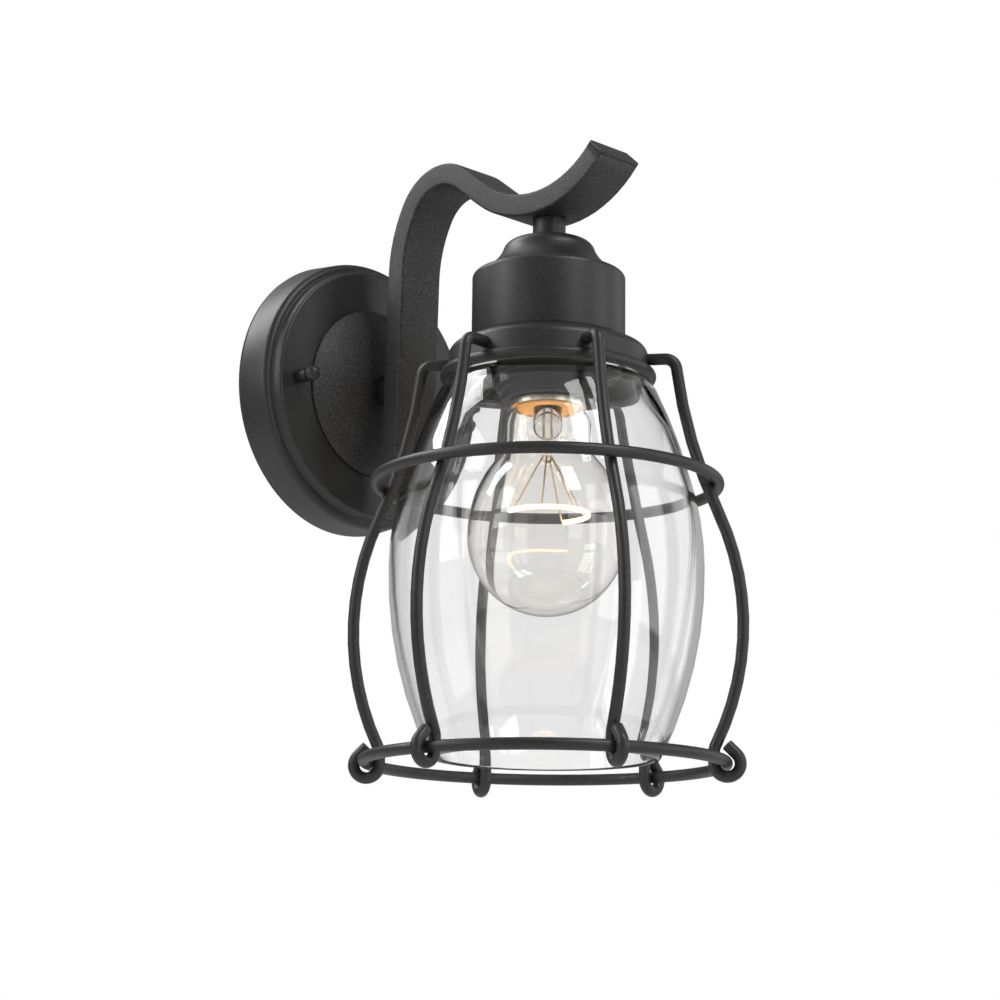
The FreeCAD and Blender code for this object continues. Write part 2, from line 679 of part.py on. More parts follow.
# Spacer between dome and arm, and the threaded tube with its nut and washer.
def make_arm_fastening():
    lean_drop = "collar_dia / 2 * tan(lean_angle)"
    collar = sleeve("arm_collar", "nipple_way", "collar_dia / 2", "dome_top", "arm_back - " + lean_drop)
    on_wall(collar)
    plate_back = "face_depth - plate_wall"
    washer = sleeve("arm_washer", "nipple_way", "washer_dia / 2", plate_back + " - washer_thick", plate_back)
    on_wall(washer)
    nut = hex_nut("arm_locknut", "nipple_way", plate_back + " - washer_thick - lock_thick")
    on_wall(nut)
    nipple = sleeve(
        "arm_nipple",
        "nipple_bore / 2",
        "nipple_dia / 2",
        plate_back + " - washer_thick - lock_thick - nipple_over",
        "arm_back + tube_wall + nipple_over",
    )
    on_wall(nipple)


# Arm: one rectangular tube with rounded corners, bent up, over and down to a saddle.
def make_arm():
    body = new_body("arm")
    path = sketch_in(body, "arm_route", "YZ_Plane")
    spots = route(
        path,
        "-foot_depth",
        "-foot_drop",
        "90 + lean_angle",
        [
            ("leg_long",),
            ("ease_radius", "ease_angle", 1),
            ("crook_radius", "crook_angle", 1),
            ("slope_long",),
            ("saddle_radius", "saddle_angle", -1),
        ],
    )
    section = sketch_in(body, "arm_section", "XY_Plane")
    section.AttachmentOffset = Placement(Vector(), Rotation(ACROSS, number("lean_angle")))
    bind(section, "AttachmentOffset.Base.y", "-foot_depth")
    bind(section, "AttachmentOffset.Base.z", "-foot_drop")
    rounded_box(section, "tube_wide", "tube_deep", "tube_round")
    rounded_box(section, "tube_wide - 2 * tube_wall", "tube_deep - 2 * tube_wall", "tube_inner_round")
    doc.recompute()
    piped("arm", body, path, section)
    back_hole = sketch_in(body, "arm_back_hole_outline", "XZ_Plane")
    circle(back_hole, "0", "0", "nipple_way")
    cut_deep(body, "arm_back_hole", back_hole, "arm_middle", -1)
    stem_hole = sketch_in(body, "arm_stem_hole_outline", "XY_Plane")
    circle(stem_hole, "0", "-lamp_reach", "nipple_way")
    cut_deep(body, "arm_stem_hole", stem_hole, "saddle_high", -1)
    return spots[-1]


# A plate that closes one end of the arm tube.
def make_arm_cap(name, spot, turn, side):
    body = new_body(name)
    section = sketch_in(body, name + "_outline", "XY_Plane")
    rounded_box(section, "tube_wide", "tube_deep", "tube_round")
    pad = body.newObject("PartDesign::Pad", name + "_pad")
    pad.Profile = (section, [""])
    bind(pad, "Length", "cap_thick")
    pad.Reversed = side < 0
    doc.recompute()
    kept(body, name)
    body.Placement = Placement(Vector(0, spot.x, spot.y), Rotation(ACROSS, number(turn)))


# Cap nut: neck, waist and ball, bored for its stud.
def make_cap_nuts():
    ball = "nut_ball_dia / 2"
    waist = "nut_waist_dia / 2"
    stud_bore = "stud_dia / 2 + gap_fit"
    neck_top = "nut_foot + nut_neck"
    waist_top = neck_top + " + nut_waist"
    centre = "%s + sqrt((%s)^2 - (%s)^2)" % (waist_top, ball, waist)
    bore_top = "stud_long + gap_part"
    for side in ("left", "right"):
        body = turned(
            "cap_nut_" + side,
            [
                (stud_bore, "nut_foot"),
                ("nut_neck_dia / 2", "nut_foot"),
                ("nut_neck_dia / 2", neck_top),
                (waist, waist_top, ball, 1),
                (ball, centre, ball, 1),
                ("0", "%s + %s" % (centre, ball)),
                ("0", bore_top),
                (stud_bore, bore_top),
            ],
        )
        on_wall(body, "stud_place" if side == "right" else "-stud_place")


# Stem: sleeve, threaded tube, washer and nut between the arm and the cup.
def make_stem():
    stem = sleeve("stem_sleeve", "nipple_way", "stem_dia / 2", "cup_top", "cup_top + stem_long")
    on_lamp(stem)
    cup_under = "cup_top - cup_wall"
    washer = sleeve("stem_washer", "nipple_way", "washer_dia / 2", cup_under + " - washer_thick", cup_under)
    on_lamp(washer)
    nut = hex_nut("stem_locknut", "nipple_way", "locknut_low")
    on_lamp(nut)
    nipple = sleeve(
        "stem_nipple",
        "nipple_bore / 2",
        "nipple_dia / 2",
        "holder_top + nipple_over",
        "cup_top + stem_long + tube_wall + saddle_sag",
    )
    on_lamp(nipple)


# Cup: a spun cover with a flat crown, a hollow flare and a straight side.
def make_cup():
    profile = [
        ("cup_radius", "edge_high", "cup_edge_radius"),
        ("cup_flare", "flare_high", "cup_flare_radius"),
        ("cup_brow", "brow_high", "cup_brow_radius"),
        ("cup_crown", "cup_top"),
    ]
    inside = [(x + " - cup_wall", y + " - cup_wall") for x, y in (spot[:2] for spot in profile)]
    body = turned(
        "socket_cup",
        [
            ("cup_radius - cup_wall", "cup_foot"),
            ("cup_radius", "cup_foot"),
            profile[0] + (1,),
            profile[1] + (-1,),
            profile[2] + (1,),
            profile[3],
            ("nipple_way", "cup_top"),
            ("nipple_way", "cup_top - cup_wall"),
            inside[3] + ("cup_brow_radius", -1),
            inside[2] + ("cup_flare_radius", 1),
            inside[1] + ("cup_edge_radius", -1),
            inside[0],
        ],
    )
    on_lamp(body)


# Fitter: a shallow spun bell with a rolled bead and six wire holes.
def make_fitter():
    bead_x = "band_radius + bead_out"
    lip = "sqrt(bead_radius^2 - bead_out^2)"
    hole_edge = "holder_radius + gap_part"
    body = turned(
        "fitter_band",
        [
            (hole_edge, "pad_top"),
            ("cup_radius - band_wall", "pad_top"),
            ("band_slope - band_wall", "slope_low - band_wall", "band_round_radius - band_wall", -1),
            ("band_in", "band_side"),
            ("band_in", "-bead_drop"),
            (bead_x + " - bead_radius", "-bead_drop", "bead_radius", 1),
            (bead_x, "-bead_drop - bead_radius", "bead_radius", 1),
            (bead_x + " + bead_radius", "-bead_drop", "bead_radius", 1),
            ("band_radius", "-bead_drop + " + lip),
            ("band_radius", "band_side", "band_round_radius", 1),
            ("band_slope", "slope_low"),
            ("cup_radius", "cup_foot"),
            (hole_edge, "cup_foot"),
        ],
    )
    hole = sketch_in(body, "band_hole_outline", "YZ_Plane")
    circle(hole, "0", "-wire_high", "wire_dia / 2 + gap_fit")
    hole_cut = cut_deep(body, "band_hole", hole, "band_radius + cut_over", -1)
    around(body, "band_holes", hole_cut, "cage_wires")
    on_lamp(body, number("cage_turn_angle + 180 / cage_wires - 90"))


# Lamp holder: moulded body, metal hub, screw shell and centre tongue.
def make_holder():
    tip = "-holder_foot + holder_tip"
    neck = "holder_radius - holder_neck_in"
    flange = "holder_radius + holder_flange_out"
    body = turned(
        "holder_body",
        [
            ("holder_in", "-holder_foot"),
            ("holder_radius - holder_step", "-holder_foot"),
            ("holder_radius - holder_step", tip),
            ("holder_radius", tip),
            ("holder_radius", "cup_foot"),
            (flange, "cup_foot"),
            (flange, "cup_foot + holder_flange"),
            (neck, "cup_foot + holder_flange"),
            (neck, "holder_top - holder_edge"),
            (neck + " - holder_edge", "holder_top"),
            ("nipple_bore / 2", "holder_top"),
            ("nipple_bore / 2", "holder_roof"),
            ("holder_in", "holder_roof"),
        ],
    )
    on_lamp(body)
    hub = sleeve("holder_hub", "nipple_way", "hub_dia / 2", "holder_top", "holder_top + hub_long")
    on_lamp(hub)
    shell = turned(
        "holder_screw_shell",
        [
            ("base_seat", "-holder_foot + shell_up"),
            ("base_seat + shell_wall", "-holder_foot + shell_up"),
            ("base_seat + shell_wall", "shell_top"),
            ("tongue_wide", "shell_top"),
            ("tongue_wide", "shell_high"),
            ("base_seat", "shell_high"),
        ],
    )
    on_lamp(shell)
    tongue = sleeve(
        "holder_contact",
        "tongue_hole / 2",
        "tongue_wide / 2",
        "tip_high + gap_seat",
        "holder_roof",
    )
    on_lamp(tongue)


# Shade ring, screwed up the holder's skirt under the glass, and the rubber washer over the glass.
def make_shade_ring():
    wall_low = "ring_top - ring_high"
    lip = "thread_in + ring_lip_wall"
    flange = "ring_out + ring_flange_out"
    body = turned(
        "shade_ring",
        [
            ("thread_in", wall_low + " - ring_lip"),
            (lip, wall_low + " - ring_lip"),
            (lip, wall_low),
            ("ring_out", wall_low),
            ("ring_out", "ring_top - ring_flange"),
            (flange, "ring_top - ring_flange"),
            (flange, "ring_top"),
            ("thread_in", "ring_top"),
        ],
    )
    on_lamp(body)
    pad = sleeve("shade_washer", "glass_hole", flange, "glass_top", "pad_top")
    on_lamp(pad)


# Glass shade: open below, with a flat top that has a hole for the holder.
def make_glass():
    body = turned(
        "glass_shade",
        [
            ("glass_hole", "glass_top"),
            ("glass_hole", "glass_top - glass_wall"),
            ("glass_neck - glass_top_round", "glass_top - glass_wall", "glass_top_round - glass_wall", -1),
            ("glass_neck - glass_wall", "glass_top - glass_top_round"),
            ("glass_neck - glass_wall", "-glass_neck_foot", "glass_turn_radius + glass_wall", 1),
            ("glass_turn - glass_wall", "turn_low - glass_wall"),
            ("glass_flare - glass_wall", "flare_low - glass_wall", "glass_chest_radius", -1),
            ("glass_chest - glass_wall", "chest_low", "glass_belly_radius", -1),
            ("glass_belly - glass_wall", "belly_low", "glass_rim_radius", -1),
            ("glass_rim - glass_wall", "rim_low"),
            ("glass_rim", "rim_low", "glass_rim_radius", 1),
            ("glass_belly", "belly_low", "glass_belly_radius", 1),
            ("glass_chest", "chest_low", "glass_chest_radius", 1),
            ("glass_flare", "flare_low", "glass_flare_radius", 1),
            ("glass_turn", "turn_low", "glass_turn_radius", -1),
            ("glass_neck", "-glass_neck_foot"),
            ("glass_neck", "glass_top - glass_top_round", "glass_top_round", 1),
            ("glass_neck - glass_top_round", "glass_top"),
        ],
    )
    on_lamp(body)


WIRE_STEPS = [
    ("wire_run",),
    ("wire_corner_radius", "wire_corner_angle", -1),
    ("wire_waist_radius", "wire_waist_angle", 1),
    ("wire_belly_radius", "wire_belly_angle", -1),
    ("wire_knee_radius", "wire_knee_angle", 1),
    ("hook_leg",),
    ("hook_radius", "hook_angle", 1),
    ("hook_tail",),
]


# One upright wire of the cage, hooked under the bottom ring.
def make_cage_wire(index):
    name = "cage_wire_%d" % (index + 1)
    body = new_body(name)
    path = sketch_in(body, name + "_route", "XZ_Plane")
    spots = route(path, "wire_start", "-wire_high", "0", WIRE_STEPS)
    section = sketch_in(body, name + "_section", "YZ_Plane")
    bind(section, "AttachmentOffset.Base.z", "wire_start")
    circle(section, "0", "-wire_high", "wire_dia / 2")
    doc.recompute()
    piped(name, body, path, section)
    on_lamp(body, number("cage_turn_angle - 90") + (index + 0.5) * number("360 / cage_wires"))
    return path, spots


def middle_ring_radius(path):
    """Centre line of the ring that touches the outer side of every wire at the middle ring's height."""
    touch = number("wire_dia + joint_gap")
    close = number("joint_gap") / 100
    level = -number("mid_ring_drop")
    run = Part.makeLine(Vector(0, 0, level), Vector(path.Shape.BoundBox.XMax + touch, 0, level))
    wire = Part.Wire(path.Shape.Edges)
    radius = min(pair[0].x for pair in wire.distToShape(run)[1])
    short = touch
    while short > close:
        radius += short
        short = touch - wire.distToShape(Part.Vertex(Vector(radius, 0, level)))[0]
    return radius


# Two rings welded to the wires: one round the middle, one inside the hooks.
def make_cage_rings(path, leg_end):
    low_radius = leg_end.x + number("wire_dia + joint_gap")
    low_level = leg_end.y + number("ring_lift")
    for name, radius, level in (
        ("cage_middle_ring", middle_ring_radius(path), -number("mid_ring_drop")),
        ("cage_bottom_ring", low_radius, low_level),
    ):
        ring = doc.addObject("Part::Torus", name + "_torus")
        ring.Radius1 = radius
        bind(ring, "Radius2", "wire_dia / 2")
        on_lamp(ring, 0, level)
        doc.recompute()
        kept(ring, name)


# Bulb: glass, screw base, insulator, centre contact and the parts sealed inside.
def make_bulb():
    across = "bulb_dia / 2"
    slant_x = "bend_out - bulb_wall * cos(bulb_upper_angle)"
    slant_z = "bend_low - bulb_wall * sin(bulb_upper_angle)"
    collar = "shoulder_high + bulb_collar"
    glass = turned(
        "bulb_glass",
        [
            ("0", "bulb_low", across, 1),
            (across, "equator_low", "bulb_upper_radius", 1),
            ("bend_out", "bend_low", "bulb_neck_radius", -1),
            ("neck_out", "neck_low"),
            ("neck_out", "neck_high", "bulb_shoulder_radius", 1),
            ("base_in", "shoulder_high"),
            ("base_in", collar),
            ("base_in - bulb_wall", collar),
            ("base_in - bulb_wall", "shoulder_high", "bulb_shoulder_radius", -1),
            ("neck_out - bulb_wall", "neck_high"),
            ("neck_out - bulb_wall", "neck_low", "bulb_neck_radius + bulb_wall", 1),
            (slant_x, slant_z, "bulb_upper_radius - bulb_wall", -1),
            (across + " - bulb_wall", "equator_low", across + " - bulb_wall", -1),
            ("0", "bulb_low + bulb_wall"),
        ],
    )
    on_lamp(glass)
    side = "base_dia / 2"
    rim = "base_rim_dia / 2"
    rim_top = "base_low + base_rim_high"
    base = turned(
        "bulb_base",
        [
            (rim + " - base_wall", "base_low"),
            (rim, "base_low"),
            (rim, rim_top),
            (side, rim_top + " + base_rim_slope"),
            (side, "base_high - base_crown"),
            ("base_neck_dia / 2", "base_high"),
            ("base_neck_dia / 2 - base_wall", "base_high - base_wall"),
            (side + " - base_wall", "base_high - base_crown - base_wall"),
            (side + " - base_wall", rim_top + " + base_rim_slope"),
            (rim + " - base_wall", rim_top),
        ],
    )
    on_lamp(base)
    insulator = turned(
        "bulb_insulator",
        [
            ("0", "base_high"),
            ("base_neck_dia / 2", "base_high"),
            ("tip_dia / 2", "tip_low"),
            ("0", "tip_low"),
        ],
    )
    on_lamp(insulator)
    tip = turned(
        "bulb_contact",
        [
            ("0", "tip_low"),
            ("tip_dia / 2", "tip_low"),
            ("tip_dia / 2 - tip_thick", "tip_high"),
            ("0", "tip_high"),
        ],
    )
    on_lamp(tip)
    tube = "mount_dia / 2"
    flare = "base_in - bulb_wall - joint_gap"
    trumpet = "base_low - mount_trumpet"
    mount = turned(
        "bulb_mount",
        [
            ("0", "rod_low"),
            ("rod_dia / 2", "rod_low"),
            ("rod_dia / 2", "mount_low"),
            (tube, "mount_low + mount_dia / 2"),
            (tube, trumpet),
            (flare, "mount_top"),
            (flare + " - mount_wall", "mount_top"),
            (tube + " - mount_wall", trumpet),
            (tube + " - mount_wall", "mount_low + mount_dia / 2"),
            ("0", "mount_low + rod_dia"),
        ],
    )
    on_lamp(mount)
    seat = "mount_top + joint_gap"
    cement = sleeve("bulb_cement", "tongue_hole", flare, seat, seat + " + cement_thick")
    on_lamp(cement)


def rod_between(name, start, end, radius):
    """A thin round rod between two points."""
    run = end - start
    rod = doc.addObject("Part::Cylinder", name)
    bind(rod, "Radius", radius)
    rod.Height = run.Length
    rod.Placement = Placement(start, Rotation(UP, run))
    return rod


# Support wires that fan from the rod to the filament, and the filament itself.
def make_filament():
    axis = Vector(0, -number("lamp_reach"), 0)
    hub = axis + UP * number("lamp_level + rod_low + rod_dia")
    level = axis + UP * number("lamp_level + coil_low")
    count = int(number("lead_count"))
    span = number("coil_angle")
    root = number("rod_dia / 2 + lead_dia / 2")
    reach = number("coil_spread - coil_dia / 2 - lead_dia")
    rods = []
    for index in range(count):
        angle = math.radians(-90 - span / 2 + span * index / (count - 1))
        outward = Vector(math.cos(angle), math.sin(angle), 0)
        name = "support_%d" % (index + 1)
        rods.append(rod_between(name, hub + outward * root, level + outward * reach, "lead_dia / 2"))
    fan = doc.addObject("Part::Compound", "filament_supports_fan")
    fan.Links = rods
    doc.recompute()
    kept(fan, "filament_supports")
    coil = doc.addObject("Part::Torus", "filament_arc")
    bind(coil, "Radius1", "coil_spread")
    bind(coil, "Radius2", "coil_dia / 2")
    bind(coil, "Angle3", "coil_angle")
    on_lamp(coil, -90 - span / 2, number("coil_low"))
    doc.recompute()
    kept(coil, "filament")


def make_all():
    make_strap()
    make_studs()
    make_ground_screw()
    make_gasket()
    make_plate()
    make_dome()
    make_arm_fastening()
    tip = make_arm()
    foot = Vector(-number("foot_depth"), -number("foot_drop"), 0)
    make_arm_cap("arm_foot_cap", foot, "lean_angle", -1)
    make_arm_cap("arm_tip_cap", tip, "crook_end - saddle_angle", 1)
    make_cap_nuts()
    make_stem()
    make_cup()
    make_fitter()
    make_holder()
    make_shade_ring()
    make_glass()
    path, spots = make_cage_wire(0)
    for index in range(1, int(number("cage_wires"))):
        make_cage_wire(index)
    hook_leg_end = spots[WIRE_STEPS.index(("hook_leg",)) + 1]
    make_cage_rings(path, hook_leg_end)
    make_bulb()
    make_filament()


def check_and_write():
    """Stop on any failed object, then write one file for each part."""
    for thing in doc.Objects:
        if "Invalid" in thing.State or "Error" in thing.State:
            raise RuntimeError("%s is %s" % (thing.Name, thing.State))
    for part in PARTS:
        if part.Shape.isNull() or not part.Shape.isValid():
            raise RuntimeError(part.Label + " has no valid shape")
    os.makedirs("parts", exist_ok=True)
    for part in PARTS:
        part.Shape.exportStep("parts/%s.step" % part.Label)
        box = part.Shape.optimalBoundingBox()
        print("%-20s solids %d volume %10.1f  x %7.2f %7.2f  y %8.2f %8.2f  z %8.2f %8.2f" % (
            part.Label, len(part.Shape.Solids), part.Shape.Volume,
            box.XMin, box.XMax, box.YMin, box.YMax, box.ZMin, box.ZMax))


make_all()
doc.recompute()
check_and_write()
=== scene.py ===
"""Outdoor wall sconce: the visible pieces, their finishes, the light and the camera."""

import math

import bmesh
import bpy
from mathutils import Matrix, Vector


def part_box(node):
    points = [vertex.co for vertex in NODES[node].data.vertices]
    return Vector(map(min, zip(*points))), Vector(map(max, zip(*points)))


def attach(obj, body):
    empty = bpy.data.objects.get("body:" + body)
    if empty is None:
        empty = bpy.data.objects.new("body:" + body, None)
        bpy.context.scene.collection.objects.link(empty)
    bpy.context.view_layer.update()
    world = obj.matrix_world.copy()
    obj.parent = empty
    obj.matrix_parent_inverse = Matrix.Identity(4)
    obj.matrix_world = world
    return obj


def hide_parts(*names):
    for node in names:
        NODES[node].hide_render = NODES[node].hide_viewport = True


bl_info = {
    "name": "Wall sconce",
    "version": (1, 0, 0),
    "blender": (4, 5, 0),
    "location": "View3D > Sidebar > Sconce",
    "description": "Builds the visible pieces of an outdoor wall sconce around its packed frame",
    "category": "Object",
}

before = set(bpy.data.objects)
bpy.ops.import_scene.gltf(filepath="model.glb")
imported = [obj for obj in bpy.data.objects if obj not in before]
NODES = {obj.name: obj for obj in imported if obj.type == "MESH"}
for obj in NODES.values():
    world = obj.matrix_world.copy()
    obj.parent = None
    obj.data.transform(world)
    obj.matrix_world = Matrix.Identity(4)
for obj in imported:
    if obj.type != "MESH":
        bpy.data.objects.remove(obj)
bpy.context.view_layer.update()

# The sizes below are in millimetres, and Blender's in metres.
MM = 0.001
TAU = 2 * math.pi
QUARTER = math.radians(90)

# How finely the pieces are divided.
ROUND_STEPS = 160
GLASS_STEPS = 200
SMALL_STEPS = 64
WIRE_SIDES = 28
CORNER_SEGMENTS = 8
EDGE_SEGMENTS = 3
ARC_STEP = math.radians(5)
SHARP_EDGE = math.radians(28)
MERGE = 1e-6

# Radius of the holes for the threaded tubes, radius of the spacer and the sleeve, wall of spun sheet.
BORE = 4.9
TUBE = 6.3
SHEET = 1.2

ORIGIN = Vector((0, 0, 0))
GLASS_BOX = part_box("glass_shade")
LAMP = Vector((0, (GLASS_BOX[0].y + GLASS_BOX[1].y) / 2, 0))

# Pieces in these slots cast no shadow, so that the lamps light what is behind them.
CLEAR_SLOTS = {"clear_glass", "bulb_glass"}


def length(name, text, millimetres):
    """A size property in metres, given in millimetres."""
    return bpy.props.FloatProperty(
        name=name, description=text, default=millimetres * MM, unit="LENGTH", precision=5
    )


def colour(name, text, shade):
    """A colour property."""
    return bpy.props.FloatVectorProperty(
        name=name, description=text, default=shade, subtype="COLOR", size=3, min=0, max=1
    )


class SconceSizes(bpy.types.PropertyGroup):
    """Sizes of the pieces that are modelled here."""

    plate_radius: length("Plate radius", "Back plate at the wall", 55.9)
    plate_depth: length("Plate depth", "Raised face from the wall", 19.2)
    dome_radius: length("Dome radius", "Dome casting under the arm", 34.3)
    dome_rise: length("Dome rise", "Height of the dome above its rim", 7.8)
    arm_width: length("Arm width", "Wide face of the arm tube", 21.0)
    arm_depth: length("Arm depth", "Narrow face of the arm tube", 8.8)
    arm_round: length("Arm round", "Round of the arm's long edges", 1.0)
    nut_spread: length("Nut spread", "Distance between the cap nuts", 81.2)
    cup_radius: length("Cup radius", "Straight side of the cup", 29.2)
    cup_top: length("Cup top", "Flat crown of the cup", 43.9)
    band_radius: length("Band radius", "Fitter band", 37.8)
    glass_wall: length("Glass wall", "Wall of the glass shade", 2.4)
    wire: length("Wire", "Thickness of the cage wire", 4.4)
    bulb_radius: length("Bulb radius", "Widest part of the bulb", 29.8)


class SconceColours(bpy.types.PropertyGroup):
    """Colours of the finishes."""

    coat: colour("Coat", "Satin black powder coat", (0.013, 0.013, 0.0135))
    grain: colour("Grain", "Lighter specks of the textured coat", (0.045, 0.045, 0.046))
    glass: colour("Glass", "Tint of the clear shade", (0.912, 0.912, 0.912))
    brass: colour("Brass", "Screw shell and contact", (0.78, 0.55, 0.25))
    glow: colour("Glow", "Lit filament", (1.0, 0.72, 0.38))
    floor: colour("Floor", "Pale floor", (0.82, 0.82, 0.81))


def shades():
    """The colours that are set in the panel."""
    return bpy.context.scene.sconce_colours


# Drawing and turning meshes.


def only(items, kind):
    """The items of one kind."""
    return [item for item in items if isinstance(item, kind)]


def draw_on(bm, tip, spot):
    """Draw an edge from a vertex to a spot, and give the new vertex."""
    tip = bmesh.ops.extrude_vert_indiv(bm, verts=[tip])["verts"][0]
    tip.co = spot
    return tip


def outline(corners, closed=True):
    """One chain of edges in the XZ plane, from millimetres.

    A corner is (x, z), or (x, z, radius, side) where an arc leads on: side 1 bends left, -1 right.
    """
    bm = bmesh.new()
    spots = [Vector((corner[0], 0, corner[1])) * MM for corner in corners]
    tip = bmesh.ops.create_vert(bm, co=spots[0])["vert"][0]
    onward = spots[1:] + (spots[:1] if closed else [])
    for start, end, corner in zip(spots, onward, corners):
        if len(corner) == 2:
            tip = draw_on(bm, tip, end)
            continue
        radius, side = corner[2] * MM, corner[3]
        half = (end - start).length / 2
        across = Vector((-(end - start).z, 0, (end - start).x)).normalized()
        centre = (start + end) / 2 + across * side * math.sqrt(max(radius**2 - half**2, 0))
        angle = 2 * math.asin(min(half / radius, 1))
        spun = bmesh.ops.spin(
            bm, geom=[tip], cent=centre, axis=(0, -side, 0), angle=angle,
            steps=max(2, math.ceil(angle / ARC_STEP)), use_merge=False,
        )
        tip = only(spun["geom_last"], bmesh.types.BMVert)[0]
    bmesh.ops.remove_doubles(bm, verts=bm.verts[:], dist=MERGE)
    return bm


def soften(bm, width, chosen=None):
    """Round the sharp edges, or the chosen ones among them, so that they catch the light."""
    sharp = [edge for edge in bm.edges if edge.is_manifold and edge.calc_face_angle() > SHARP_EDGE]
    if chosen:
        sharp = [edge for edge in sharp if chosen(edge)]
    if sharp and width:
        bmesh.ops.bevel(
            bm, geom=sharp, offset=width * MM, offset_type="OFFSET", segments=EDGE_SEGMENTS,
            profile=0.5, affect="EDGES", material=-1, clamp_overlap=True,
        )


def tidy(bm):
    """Merge seams and poles and point the faces outwards."""
    bmesh.ops.remove_doubles(bm, verts=bm.verts[:], dist=MERGE)
    bmesh.ops.dissolve_degenerate(bm, edges=bm.edges[:], dist=MERGE)
    bmesh.ops.recalc_face_normals(bm, faces=bm.faces[:])


def into_mesh(bm, name):
    """Turn a finished bmesh into a mesh."""
    mesh = bpy.data.meshes.new(name)
    bm.to_mesh(mesh)
    bm.free()
    return mesh


def add_mesh(bm, other):
    """Take a second bmesh into the first."""
    mesh = into_mesh(other, "added")
    bm.from_mesh(mesh)
    bpy.data.meshes.remove(mesh)


def add_object(name, data):
    """Put a new object into the scene."""
    made = bpy.data.objects.new(name, data)
    bpy.context.scene.collection.objects.link(made)
    return made


def spin_round(bm, steps=ROUND_STEPS):
    """Turn what a bmesh holds once about the Z axis."""
    bmesh.ops.spin(
        bm, geom=bm.verts[:] + bm.edges[:], cent=ORIGIN, axis=(0, 0, 1), angle=TAU, steps=steps,
        use_merge=True,
    )
    tidy(bm)


def turned(corners, edge=0.3, steps=ROUND_STEPS):
    """A round piece: an outline turned about the Z axis, with its sharp edges softened."""
    bm = outline(corners)
    spin_round(bm, steps)
    soften(bm, edge)
    return bm


class Sweep:
    """A section carried along runs and bends in one plane."""

    def __init__(self, bm, section, spot, heading, hinge):
        self.bm = bm
        self.first = list(section)
        self.last = list(section)
        self.spot = Vector(spot)
        self.heading = Vector(heading).normalized()
        self.hinge = Vector(hinge)

    def run(self, distance):
        """Go straight on."""
        grown = bmesh.ops.extrude_edge_only(self.bm, edges=self.last)["geom"]
        verts = only(grown, bmesh.types.BMVert)
        self.last = [
            edge for edge in only(grown, bmesh.types.BMEdge) if all(vert in verts for vert in edge.verts)
        ]
        step = self.heading * distance * MM
        bmesh.ops.translate(self.bm, verts=verts, vec=step)
        self.spot += step

    def bend(self, radius, degrees, side):
        """Turn left for side 1 and right for side -1, seen against the hinge."""
        angle = math.radians(degrees)
        outward = self.hinge.cross(self.heading) * side
        centre = self.spot + outward * radius * MM
        spun = bmesh.ops.spin(
            self.bm, geom=self.last, cent=centre, axis=self.hinge * side, angle=angle,
            steps=max(3, math.ceil(angle / ARC_STEP)), use_merge=False,
        )
        self.last = only(spun["geom_last"], bmesh.types.BMEdge)
        rotation = Matrix.Rotation(angle * side, 3, self.hinge)
        self.spot = centre + rotation @ (self.spot - centre)
        self.heading = rotation @ self.heading

    def follow(self, steps):
        """Take a list of runs (distance,) and bends (radius, degrees, side)."""
        for step in steps:
            if len(step) == 1:
                self.run(*step)
            else:
                self.bend(*step)
        return self

    def close(self, edge=0.0):
        """Shut both ends and soften their edges."""
        bmesh.ops.edgeloop_fill(self.bm, edges=self.first)
        bmesh.ops.edgeloop_fill(self.bm, edges=self.last)
        tidy(self.bm)
        soften(self.bm, edge)
        return self.bm


def round_section(bm, radius, matrix):
    """A ring of edges for a wire."""
    made = bmesh.ops.create_circle(
        bm, cap_ends=False, segments=WIRE_SIDES, radius=radius * MM, matrix=matrix
    )
    return list({edge for vert in made["verts"] for edge in vert.link_edges})


def box_section(bm, wide, deep, rounding, matrix):
    """A rounded rectangle of edges for a tube."""
    made = bmesh.ops.create_grid(bm, x_segments=1, y_segments=1, size=0.5)
    bmesh.ops.scale(bm, verts=made["verts"], vec=(wide * MM, deep * MM, 1))
    bmesh.ops.bevel(
        bm, geom=made["verts"], offset=rounding * MM, offset_type="OFFSET",
        segments=CORNER_SEGMENTS, profile=0.5, affect="VERTICES", material=-1,
    )
    bmesh.ops.transform(bm, matrix=matrix, verts=bm.verts[:])
    edges = bm.edges[:]
    bmesh.ops.delete(bm, geom=bm.faces[:], context="FACES_ONLY")
    return edges


def piece(name, bm, slot, nodes=(), place=None, body="fixture", look=None):
    """Make an object from a bmesh, put it in its place and hand it to its body.

    It gets the finish of its slot's name, unless another look is named.
    """
    if place is not None:
        bmesh.ops.transform(bm, matrix=place, verts=bm.verts[:])
    for face in bm.faces:
        face.smooth = True
    made = add_object(name, into_mesh(bm, name))
    made.data.materials.append(finish(look or slot))
    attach(made, body)
    if nodes:
        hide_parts(*nodes)
    made.visible_shadow = slot not in CLEAR_SLOTS


def lamp_place(turn=0.0):
    """From a piece's own axis to the lamp's upright axis."""
    return Matrix.Translation(LAMP) @ Matrix.Rotation(turn, 4, "Z")


def wall_place(x=0.0):
    """From a piece's own Z axis to an axis straight out of the wall."""
    return Matrix.Translation(Vector((x * MM, 0, 0))) @ Matrix.Rotation(QUARTER, 4, "X")


# Finishes.


